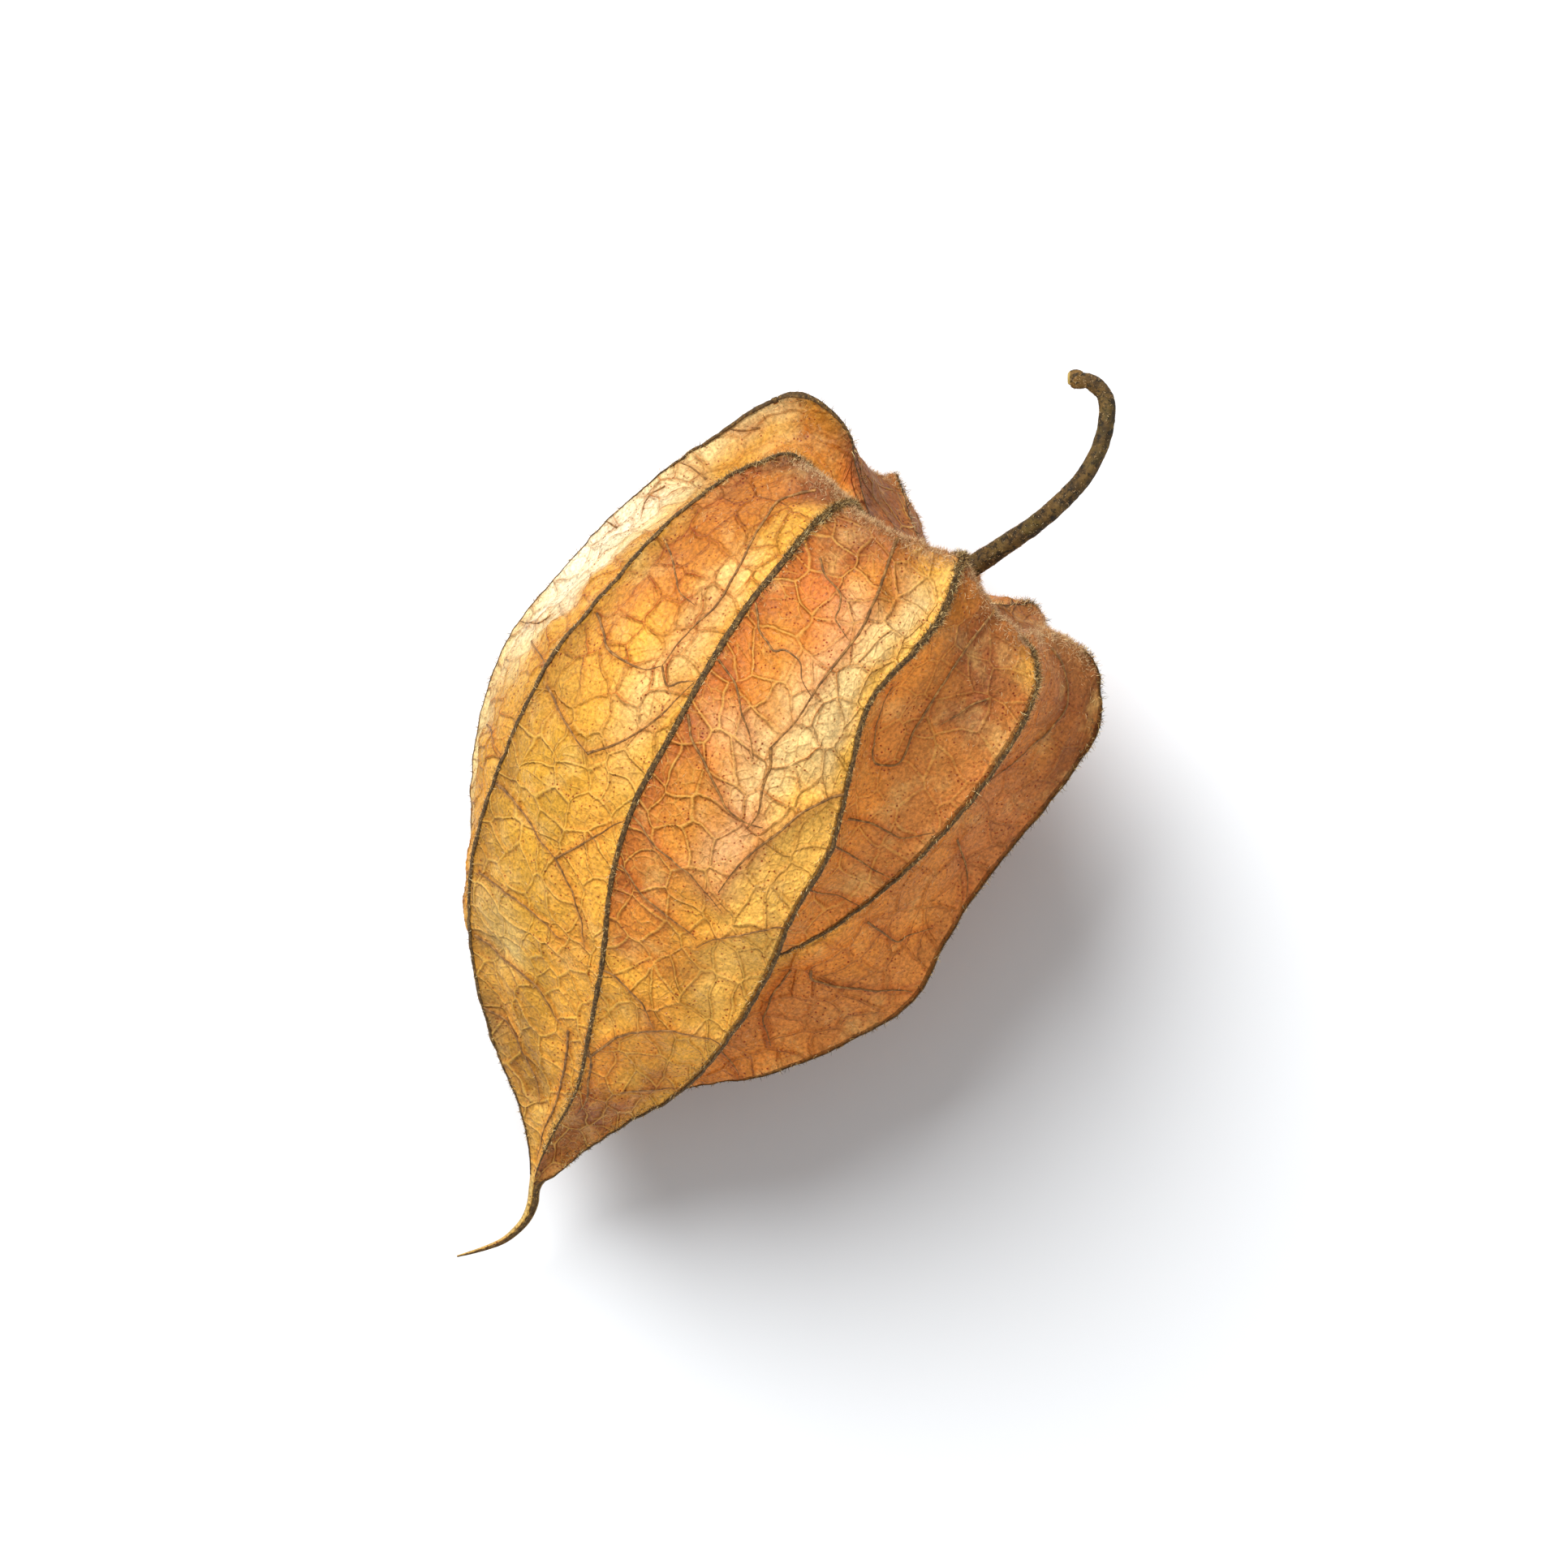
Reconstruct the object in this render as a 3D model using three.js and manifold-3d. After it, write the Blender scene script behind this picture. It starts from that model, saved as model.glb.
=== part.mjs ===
// Physalis in its dry papery husk, lying on its belly with the stem end slightly raised.
// Millimetres, +Z up. +X runs along the husk's long axis towards the stem, +Y across it.
// The origin is at the bottom centre of the whole thing's box.
//
// Two pieces: the husk, one papery calyx with ten ribs that is drawn out into a thin curled tail, and the stem.
import * as THREE from "three";
import * as BufferGeometryUtils from "three/addons/utils/BufferGeometryUtils.js";
import Module from "manifold-3d";

// ---- driving dimensions ----
const RIB_COUNT = 10;            // a calyx of five sepals has ten ribs
const STEPS_PER_PANEL = 5;       // facets across one panel, from rib to rib
const STEPS_PER_STATION = 2;     // rings between two stations along the ribs
const STEM_SIDES = 12;
const FLOOR_Z = 0;               // the belly is pressed flat here
const TRIM_BOX = 200;            // size of the block that trims the belly
const HUSK_COLOUR = 0xc98a42;
const STEM_COLOUR = 0x6b5836;

// Stations along each rib: the ring round the stem, up out of the hollow at the stem end (2), over the lip, the
// shoulder, and then down the body towards the tip. Each rib is listed as [x, y, z].
const RIBS = [
  // rib_1 left side
  [
    [15.60, -1.25, 15.25], [16.66, 2.44, 15.45], [18.38, 4.69, 15.45], [19.73, 6.32, 15.85], [19.75, 9.52, 16.45], [14.85, 12.12, 13.95],
    [12.20, 13.11, 13.55], [8.66, 13.97, 12.95], [4.66, 14.48, 12.55], [0.66, 14.76, 12.15], [-3.36, 13.98, 11.55], [-7.39, 12.07, 10.76],
    [-11.49, 9.16, 8.02], [-15.15, 6.09, 6.43], [-18.32, 2.86, 6.25], [-21.03, -1.04, 6.19], [-22.98, -2.93, 6.08],
  ],
  // rib_2 upper left
  [
    [15.58, -1.51, 16.04], [15.99, 1.28, 17.05], [16.05, 3.73, 17.85], [16.45, 5.68, 19.05], [16.61, 7.66, 20.55], [14.67, 9.43, 19.85],
    [12.02, 10.44, 20.85], [8.53, 11.22, 21.25], [4.61, 11.61, 21.25], [0.69, 11.92, 21.05], [-3.25, 11.39, 19.85], [-7.23, 10.54, 17.55],
    [-11.28, 9.08, 14.65], [-14.95, 6.67, 11.45], [-18.17, 3.31, 9.45], [-20.94, -0.81, 7.85], [-22.94, -2.83, 6.85],
  ],
  // rib_3 top left
  [
    [15.56, -2.18, 16.53], [15.87, -0.40, 18.05], [15.96, 1.51, 20.45], [16.24, 3.01, 22.45], [16.08, 3.91, 23.25], [14.54, 4.55, 24.25],
    [11.91, 4.74, 25.55], [8.45, 4.90, 26.15], [4.58, 4.69, 26.25], [0.71, 4.22, 25.85], [-3.18, 3.72, 24.85], [-7.12, 2.45, 22.65],
    [-11.11, 0.29, 19.85], [-14.75, -1.36, 16.45], [-18.01, -2.69, 12.65], [-20.87, -3.05, 9.25], [-22.89, -3.42, 7.65],
  ],
  // rib_4 crest
  [
    [15.56, -3.01, 16.53], [16.57, -2.77, 17.85], [17.11, -2.77, 20.05], [17.54, -2.81, 22.65], [17.36, -2.80, 23.95], [14.52, -3.58, 24.85],
    [11.89, -3.53, 26.45], [8.44, -3.14, 26.85], [4.58, -4.52, 26.25], [0.70, -6.08, 24.95], [-3.20, -6.48, 23.85], [-7.15, -7.38, 21.15],
    [-11.18, -7.60, 17.85], [-14.88, -7.22, 13.25], [-18.15, -5.83, 9.85], [-20.94, -4.85, 7.95], [-22.95, -4.41, 6.65],
  ],
  // rib_5 upper right
  [
    [15.58, -3.68, 16.04], [15.90, -4.84, 17.05], [15.66, -6.36, 18.85], [15.66, -7.57, 20.25], [15.60, -8.39, 20.85], [14.63, -9.82, 21.25],
    [12.00, -10.59, 21.85], [8.52, -10.77, 21.65], [4.61, -10.48, 20.85], [0.68, -9.76, 19.65], [-3.28, -8.44, 17.65], [-7.29, -6.40, 14.85],
    [-11.36, -5.63, 12.05], [-15.03, -5.38, 9.45], [-18.25, -5.04, 7.65], [-21.01, -4.59, 6.65], [-22.97, -4.23, 6.25],
  ],
  // rib_6 right side
  [
    [15.60, -3.94, 15.25], [16.22, -5.29, 15.25], [16.49, -8.17, 15.25], [17.28, -10.37, 15.45], [17.45, -11.69, 15.65], [14.84, -14.12, 14.25],
    [12.19, -14.48, 13.85], [8.65, -14.37, 13.25], [4.66, -14.11, 12.85], [0.66, -14.26, 12.45], [-3.35, -14.76, 11.85], [-7.38, -13.18, 11.05],
    [-11.43, -10.61, 10.05], [-15.15, -7.21, 6.54], [-18.32, -5.59, 6.32], [-21.03, -4.74, 6.22], [-22.98, -4.33, 6.10],
  ],
  // rib_7 lower right
  [
    [15.63, -3.69, 14.46], [16.45, -4.55, 13.65], [17.06, -5.99, 11.65], [17.93, -7.08, 9.65], [18.19, -7.76, 8.85], [15.02, -11.61, 8.29],
    [12.36, -11.86, 6.93], [8.77, -11.68, 5.73], [4.71, -11.40, 4.97], [0.63, -11.51, 4.69], [-3.45, -12.04, 4.45], [-7.52, -10.77, 4.61],
    [-11.62, -7.88, 3.96], [-15.25, -5.23, 4.05], [-18.39, -4.31, 4.75], [-21.07, -4.17, 5.45], [-23.00, -4.11, 5.70],
  ],
  // rib_8 underside right
  [
    [15.65, -3.02, 13.97], [16.56, -2.87, 13.25], [17.26, -3.05, 10.85], [18.26, -3.32, 8.05], [18.41, -3.55, 6.65], [15.13, -5.12, 4.66],
    [12.46, -5.03, 2.74], [8.84, -4.65, 1.19], [4.74, -4.30, 0.22], [0.62, -4.30, 0.01], [-3.51, -4.91, -0.02], [-7.61, -4.51, 0.70],
    [-11.70, -3.32, 1.49], [-15.31, -2.25, 2.64], [-18.44, -2.43, 3.87], [-21.10, -3.35, 5.01], [-23.02, -3.80, 5.48],
  ],
  // rib_9 underside left
  [
    [15.65, -2.18, 13.97], [16.82, -1.18, 13.45], [17.79, 0.43, 11.25], [19.03, 1.97, 9.05], [19.40, 2.88, 7.85], [15.13, 2.94, 4.60],
    [12.46, 3.48, 2.67], [8.84, 4.11, 1.12], [4.74, 4.55, 0.14], [0.62, 4.68, -0.06], [-3.51, 3.97, -0.09], [-7.61, 3.27, 0.64],
    [-11.70, 2.03, 1.45], [-15.31, 1.09, 2.62], [-18.44, -0.33, 3.85], [-21.10, -2.44, 5.00], [-23.02, -3.46, 5.48],
  ],
  // rib_10 lower left
  [
    [15.63, -1.51, 14.46], [16.88, 0.77, 14.25], [18.17, 4.02, 12.85], [19.55, 5.82, 11.65], [19.66, 7.21, 11.25], [15.02, 9.49, 8.15],
    [12.36, 10.38, 6.76], [8.77, 11.20, 5.55], [4.71, 11.70, 4.78], [0.63, 11.94, 4.50], [-3.45, 11.16, 4.27], [-7.53, 9.58, 4.45],
    [-11.63, 6.62, 3.85], [-15.25, 4.08, 3.97], [-18.40, 1.56, 4.70], [-21.07, -1.62, 5.42], [-23.00, -3.15, 5.69],
  ],
];

// The middle line of the panel that follows each rib, at the same stations. It stands out where the panel is
// puffed up, and in where the panel is folded in between its two ribs.
const FOLDS = [
  // between rib_1 and rib_2
  [
    [15.59, -1.32, 15.67], [16.28, 1.90, 16.05], [16.82, 4.11, 15.85], [17.25, 5.74, 16.15], [17.16, 8.25, 16.15], [14.78, 9.32, 16.27],
    [12.12, 10.65, 16.82], [8.60, 12.11, 16.96], [4.64, 12.94, 16.87], [0.67, 13.52, 16.65], [-3.30, 12.96, 15.78], [-7.31, 11.60, 14.21],
    [-11.39, 9.42, 11.33], [-15.05, 6.69, 8.90], [-18.25, 3.29, 7.82], [-20.99, -0.82, 7.01], [-22.96, -2.83, 6.46],
  ],
  // between rib_2 and rib_3
  [
    [15.57, -1.81, 16.34], [15.71, 0.44, 17.55], [15.48, 2.62, 19.15], [16.46, 4.55, 21.25], [16.59, 5.75, 22.55], [14.59, 6.92, 22.49],
    [11.95, 7.65, 23.90], [8.48, 8.24, 24.66], [4.59, 8.38, 24.89], [0.70, 8.25, 24.71], [-3.20, 7.76, 23.61], [-7.15, 6.62, 21.29],
    [-11.16, 4.66, 18.28], [-14.82, 2.59, 14.79], [-18.07, 0.19, 11.56], [-20.89, -1.94, 8.79], [-22.91, -3.11, 7.32],
  ],
  // between rib_3 and rib_4
  [
    [15.56, -2.60, 16.60], [16.00, -1.58, 17.95], [16.01, -0.63, 20.25], [16.47, 0.36, 23.25], [16.35, 0.65, 24.35], [14.51, -0.46, 25.12],
    [11.88, -0.30, 27.00], [8.43, -0.00, 27.68], [4.57, -0.84, 27.55], [0.71, -1.66, 26.74], [-3.17, -1.70, 25.62], [-7.11, -2.62, 22.99],
    [-11.12, -3.86, 19.72], [-14.79, -4.56, 15.38], [-18.07, -4.52, 11.55], [-20.89, -4.07, 8.76], [-22.92, -3.95, 7.18],
  ],
  // between rib_4 and rib_5
  [
    [15.57, -3.38, 16.34], [16.02, -3.80, 17.45], [15.86, -4.56, 19.45], [16.26, -5.55, 21.85], [16.32, -5.97, 22.65], [14.57, -5.80, 23.22],
    [11.95, -5.83, 24.11], [8.49, -5.48, 24.04], [4.60, -6.24, 23.09], [0.69, -6.77, 21.88], [-3.24, -6.52, 20.46], [-7.22, -6.12, 18.13],
    [-11.27, -6.15, 15.12], [-14.95, -6.12, 11.44], [-18.20, -5.34, 8.78], [-20.97, -4.72, 7.30], [-22.96, -4.32, 6.45],
  ],
  // between rib_5 and rib_6
  [
    [15.59, -3.87, 15.67], [15.84, -5.07, 16.15], [15.55, -7.26, 17.05], [16.88, -8.76, 16.65], [17.05, -9.29, 16.85], [14.74, -10.90, 17.59],
    [12.10, -11.08, 17.66], [8.59, -11.10, 17.34], [4.64, -11.02, 16.77], [0.67, -11.01, 15.94], [-3.32, -10.93, 14.67], [-7.33, -9.39, 13.05],
    [-11.39, -7.94, 11.34], [-15.08, -6.37, 8.25], [-18.28, -5.38, 7.09], [-21.02, -4.66, 6.46], [-22.97, -4.27, 6.18],
  ],
  // between rib_6 and rib_7
  [
    [15.62, -3.88, 14.83], [16.12, -4.92, 14.45], [16.24, -7.08, 13.45], [17.25, -8.74, 12.55], [17.23, -10.09, 11.85], [14.92, -12.31, 11.51],
    [12.27, -12.81, 10.54], [8.71, -12.94, 9.52], [4.68, -12.96, 8.84], [0.65, -13.28, 8.43], [-3.40, -13.89, 7.97], [-7.46, -12.46, 7.65],
    [-11.53, -9.63, 6.84], [-15.21, -6.46, 5.11], [-18.36, -5.11, 5.41], [-21.06, -4.54, 5.78], [-22.99, -4.26, 5.88],
  ],
  // between rib_7 and rib_8
  [
    [15.64, -3.39, 14.16], [16.28, -3.71, 13.45], [16.63, -4.52, 11.25], [17.74, -5.21, 8.85], [17.37, -5.80, 7.85], [15.05, -7.97, 7.17],
    [12.40, -8.13, 5.34], [8.80, -8.07, 3.62], [4.72, -7.93, 2.51], [0.62, -8.09, 2.10], [-3.48, -8.66, 1.96], [-7.57, -7.82, 2.40],
    [-11.67, -5.76, 2.46], [-15.29, -3.83, 3.17], [-18.42, -3.46, 4.13], [-21.09, -3.81, 5.14], [-23.01, -3.99, 5.55],
  ],
  // between rib_8 and rib_9
  [
    [15.65, -2.60, 13.90], [16.46, -2.02, 13.35], [16.99, -1.31, 11.05], [18.29, -0.67, 8.55], [18.13, -0.44, 6.85], [15.11, -1.09, 5.23],
    [12.45, -0.77, 3.11], [8.84, -0.27, 1.25], [4.74, 0.12, 0.08], [0.61, 0.19, -0.33], [-3.51, -0.47, -0.46], [-7.62, -0.62, 0.37],
    [-11.71, -0.65, 1.17], [-15.32, -0.58, 2.43], [-18.45, -1.38, 3.66], [-21.10, -2.90, 4.91], [-23.02, -3.63, 5.43],
  ],
  // between rib_9 and rib_10
  [
    [15.64, -1.81, 14.16], [16.63, -0.20, 13.85], [17.44, 2.23, 12.05], [18.94, 3.90, 10.35], [18.86, 4.93, 8.85], [15.06, 5.83, 7.08],
    [12.40, 6.63, 5.23], [8.81, 7.56, 3.50], [4.72, 8.26, 2.29], [0.62, 8.56, 1.88], [-3.48, 7.81, 1.75], [-7.58, 6.66, 2.21],
    [-11.67, 4.48, 2.38], [-15.29, 2.68, 3.11], [-18.42, 0.70, 4.10], [-21.09, -1.98, 5.12], [-23.01, -3.28, 5.54],
  ],
  // between rib_10 and rib_1
  [
    [15.62, -1.32, 14.83], [16.55, 1.60, 14.85], [17.74, 4.36, 14.15], [19.29, 6.07, 13.75], [18.67, 8.31, 13.65], [14.92, 9.90, 11.48],
    [12.27, 11.01, 10.47], [8.71, 12.31, 9.36], [4.69, 13.20, 8.63], [0.64, 13.65, 8.21], [-3.41, 12.96, 7.76], [-7.46, 11.22, 7.45],
    [-11.57, 8.16, 5.78], [-15.21, 5.25, 5.08], [-18.36, 2.37, 5.35], [-21.06, -1.25, 5.74], [-22.99, -2.99, 5.86],
  ],
];

// The tail: centre, half width, half thickness, and the sideways direction of each section.
const TAIL = [
  { at: [-24.13, -3.95, 6.25], halfWidth: 0.339, halfThickness: 0.30, side: [0.486, -0.874] },
  { at: [-25.01, -4.40, 5.75], halfWidth: 0.316, halfThickness: 0.27, side: [0.348, -0.938] },
  { at: [-25.95, -4.61, 5.25], halfWidth: 0.271, halfThickness: 0.25, side: [0.070, -0.998] },
  { at: [-26.87, -4.53, 4.85], halfWidth: 0.226, halfThickness: 0.22, side: [-0.196, -0.981] },
  { at: [-27.76, -4.26, 4.45], halfWidth: 0.181, halfThickness: 0.20, side: [-0.415, -0.910] },
  { at: [-28.58, -3.78, 4.15], halfWidth: 0.136, halfThickness: 0.17, side: [-0.560, -0.829] },
  { at: [-29.32, -3.24, 3.95], halfWidth: 0.100, halfThickness: 0.14, side: [-0.612, -0.791] },
  { at: [-29.99, -2.71, 3.85], halfWidth: 0.054, halfThickness: 0.10, side: [-0.626, -0.780] },
];

// The stem: centreline and radius, from the hollow of the husk to the cut end.
const STEM = [
  [16.26, -2.78, 15.35, 0.60],
  [16.88, -3.12, 15.65, 0.60],
  [17.84, -3.56, 15.95, 0.60],
  [19.03, -4.04, 16.45, 0.56],
  [20.26, -4.49, 17.05, 0.53],
  [21.48, -4.94, 17.65, 0.51],
  [22.84, -5.29, 18.25, 0.50],
  [24.35, -5.54, 18.65, 0.48],
  [25.84, -5.53, 18.95, 0.46],
  [27.53, -5.12, 19.05, 0.45],
  [28.71, -4.49, 18.95, 0.45],
  [29.29, -3.87, 18.85, 0.46],
  [29.47, -3.20, 18.75, 0.50],
  [29.43, -2.74, 18.70, 0.60],
  [29.32, -2.39, 18.65, 0.62],
];

// ---- curves ----
// A smooth curve through evenly numbered points, with tangents weighted by the square root of the spacing.
function curvePoint(points, v) {
  const n = points.length;
  const i = Math.min(Math.max(Math.floor(v), 0), n - 2);
  const f = v - i;
  const at = (j) => new THREE.Vector3(...points[Math.min(Math.max(j, 0), n - 1)]);
  const p0 = at(i - 1), p1 = at(i), p2 = at(i + 1), p3 = at(i + 2);
  const d1 = Math.sqrt(p1.distanceTo(p0)) + 1e-9;
  const d2 = Math.sqrt(p2.distanceTo(p1)) + 1e-9;
  const d3 = Math.sqrt(p3.distanceTo(p2)) + 1e-9;
  const m0 = p1.clone().sub(p0).divideScalar(d1);
  const m1 = p2.clone().sub(p1).divideScalar(d2);
  const m3 = p3.clone().sub(p2).divideScalar(d3);
  const t1 = i === 0 ? m1.clone() : m0.clone().multiplyScalar(d2).add(m1.clone().multiplyScalar(d1)).divideScalar(d1 + d2);
  const t2 = i === n - 2 ? m1.clone() : m1.clone().multiplyScalar(d3).add(m3.clone().multiplyScalar(d2)).divideScalar(d2 + d3);
  const f2 = f * f, f3 = f2 * f;
  return p1.clone().multiplyScalar(2 * f3 - 3 * f2 + 1)
    .addScaledVector(t1, d2 * (f3 - 2 * f2 + f))
    .addScaledVector(p2, -2 * f3 + 3 * f2)
    .addScaledVector(t2, d2 * (f3 - f2));
}

// Closed skin over a list of rings with equally many points, with a fan over each end.
function skin(rings) {
  const sides = rings[0].length;
  const positions = [];
  for (const ring of rings) for (const p of ring) positions.push(p.x, p.y, p.z);
  const middle = (ring) => ring.reduce((s, p) => s.add(p), new THREE.Vector3()).divideScalar(ring.length);
  const first = positions.length / 3;
  for (const ring of [rings[0], rings[rings.length - 1]]) { const m = middle(ring); positions.push(m.x, m.y, m.z); }
  const index = [];
  for (let j = 0; j + 1 < rings.length; j++) {
    for (let i = 0; i < sides; i++) {
      const a = j * sides + i, b = j * sides + (i + 1) % sides;
      index.push(a, a + sides, b, b, a + sides, b + sides);
    }
  }
  const last = (rings.length - 1) * sides;
  for (let i = 0; i < sides; i++) {
    index.push(first, i, (i + 1) % sides);
    index.push(first + 1, last + (i + 1) % sides, last + i);
  }
  const geometry = new THREE.BufferGeometry();
  geometry.setAttribute("position", new THREE.Float32BufferAttribute(positions, 3));
  geometry.setIndex(index);
  return geometry;
}

// ---- husk ----
// Angle of each rib, and of the fold after it, round the tail: rib 1 on the left, rib 6 on the right.
const tailAngle = (line) => Math.PI - (line * Math.PI) / RIB_COUNT;

const lines = [];
for (let k = 0; k < RIB_COUNT; k++) { lines.push([...RIBS[k]]); lines.push([...FOLDS[k]]); }
for (const t of TAIL) {
  lines.forEach((line, n) => {
    const a = tailAngle(n), c = Math.cos(a) * t.halfWidth;
    line.push([t.at[0] + t.side[0] * c, t.at[1] + t.side[1] * c, t.at[2] + Math.sin(a) * t.halfThickness]);
  });
}

const stations = lines[0].length;
const huskRings = [];
for (let r = 0; r <= (stations - 1) * STEPS_PER_STATION; r++) {
  const v = r / STEPS_PER_STATION;
  const across = lines.map((line) => curvePoint(line, v));
  const ring = [];
  for (let k = 0; k < RIB_COUNT; k++) {
    const a = across[2 * k], m = across[2 * k + 1], b = across[(2 * k + 2) % across.length];
    for (let j = 0; j < STEPS_PER_PANEL; j++) {
      const s = j / STEPS_PER_PANEL;
      // the parabola through a rib, the fold and the next rib
      ring.push(a.clone().multiplyScalar((1 - s) * (1 - 2 * s))
        .addScaledVector(m, 4 * s * (1 - s))
        .addScaledVector(b, s * (2 * s - 1)));
    }
  }
  huskRings.push(ring);
}

// The belly is pressed flat where it rests.
const wasm = await Module();
wasm.setup();

function toManifold(geometry) {
  const bare = geometry.clone();
  bare.deleteAttribute("normal");
  bare.deleteAttribute("uv");
  const merged = BufferGeometryUtils.mergeVertices(bare, 1e-5);
  return new wasm.Manifold(new wasm.Mesh({
    numProp: 3,
    vertProperties: new Float32Array(merged.attributes.position.array),
    triVerts: new Uint32Array(merged.index.array),
  }));
}

function fromManifold(solid) {
  const mesh = solid.getMesh();
  const geometry = new THREE.BufferGeometry();
  geometry.setAttribute("position", new THREE.Float32BufferAttribute(Array.from(mesh.vertProperties), 3));
  geometry.setIndex(Array.from(mesh.triVerts));
  return geometry;
}

const block = new THREE.BoxGeometry(TRIM_BOX, TRIM_BOX, TRIM_BOX);
block.translate(0, 0, FLOOR_Z - TRIM_BOX / 2);
const huskGeometry = fromManifold(toManifold(skin(huskRings)).subtract(toManifold(block)));
huskGeometry.computeVertexNormals();

const husk = new THREE.Mesh(
  huskGeometry,
  new THREE.MeshStandardMaterial({ color: HUSK_COLOUR, roughness: 0.62, metalness: 0 }),
);
husk.name = "husk";

// ---- stem ----
const stemPoints = STEM.map((p) => [p[0], p[1], p[2]]);
const stemRings = [];
let across = null;
for (let r = 0; r <= (STEM.length - 1) * 2; r++) {
  const v = r / 2;
  const i = Math.min(Math.floor(v), STEM.length - 2);
  const centre = curvePoint(stemPoints, v);
  const along = curvePoint(stemPoints, Math.min(v + 0.05, STEM.length - 1))
    .sub(curvePoint(stemPoints, Math.max(v - 0.05, 0))).normalize();
  if (!across) across = new THREE.Vector3(0, 0, 1);
  across.addScaledVector(along, -across.dot(along)).normalize();
  const side = along.clone().cross(across);
  const radius = THREE.MathUtils.lerp(STEM[i][3], STEM[i + 1][3], v - i);
  const ring = [];
  for (let s = 0; s < STEM_SIDES; s++) {
    const a = (-s * 2 * Math.PI) / STEM_SIDES;
    ring.push(centre.clone().addScaledVector(across, Math.cos(a) * radius).addScaledVector(side, Math.sin(a) * radius));
  }
  stemRings.push(ring);
}
const stemGeometry = skin(stemRings);
stemGeometry.computeVertexNormals();
const stem = new THREE.Mesh(
  stemGeometry,
  new THREE.MeshStandardMaterial({ color: STEM_COLOUR, roughness: 0.7, metalness: 0 }),
);
stem.name = "stem";

const physalis = new THREE.Group();
physalis.name = "physalis";
physalis.add(husk, stem);
export default physalis;
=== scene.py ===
import bpy, math
import numpy as np
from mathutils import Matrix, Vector, kdtree, noise


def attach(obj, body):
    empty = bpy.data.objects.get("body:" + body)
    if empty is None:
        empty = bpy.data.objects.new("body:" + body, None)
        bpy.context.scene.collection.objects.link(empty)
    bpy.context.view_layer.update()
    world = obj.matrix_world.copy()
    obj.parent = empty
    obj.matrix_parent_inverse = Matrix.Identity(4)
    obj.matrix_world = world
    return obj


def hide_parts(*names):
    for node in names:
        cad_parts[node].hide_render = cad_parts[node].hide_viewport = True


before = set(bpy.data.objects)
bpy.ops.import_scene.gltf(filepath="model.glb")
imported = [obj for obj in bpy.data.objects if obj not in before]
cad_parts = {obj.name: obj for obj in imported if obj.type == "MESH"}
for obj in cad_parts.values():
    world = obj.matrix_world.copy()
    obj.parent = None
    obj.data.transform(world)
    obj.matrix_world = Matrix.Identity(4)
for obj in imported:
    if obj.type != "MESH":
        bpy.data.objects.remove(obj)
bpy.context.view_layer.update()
MM = 0.001

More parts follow.
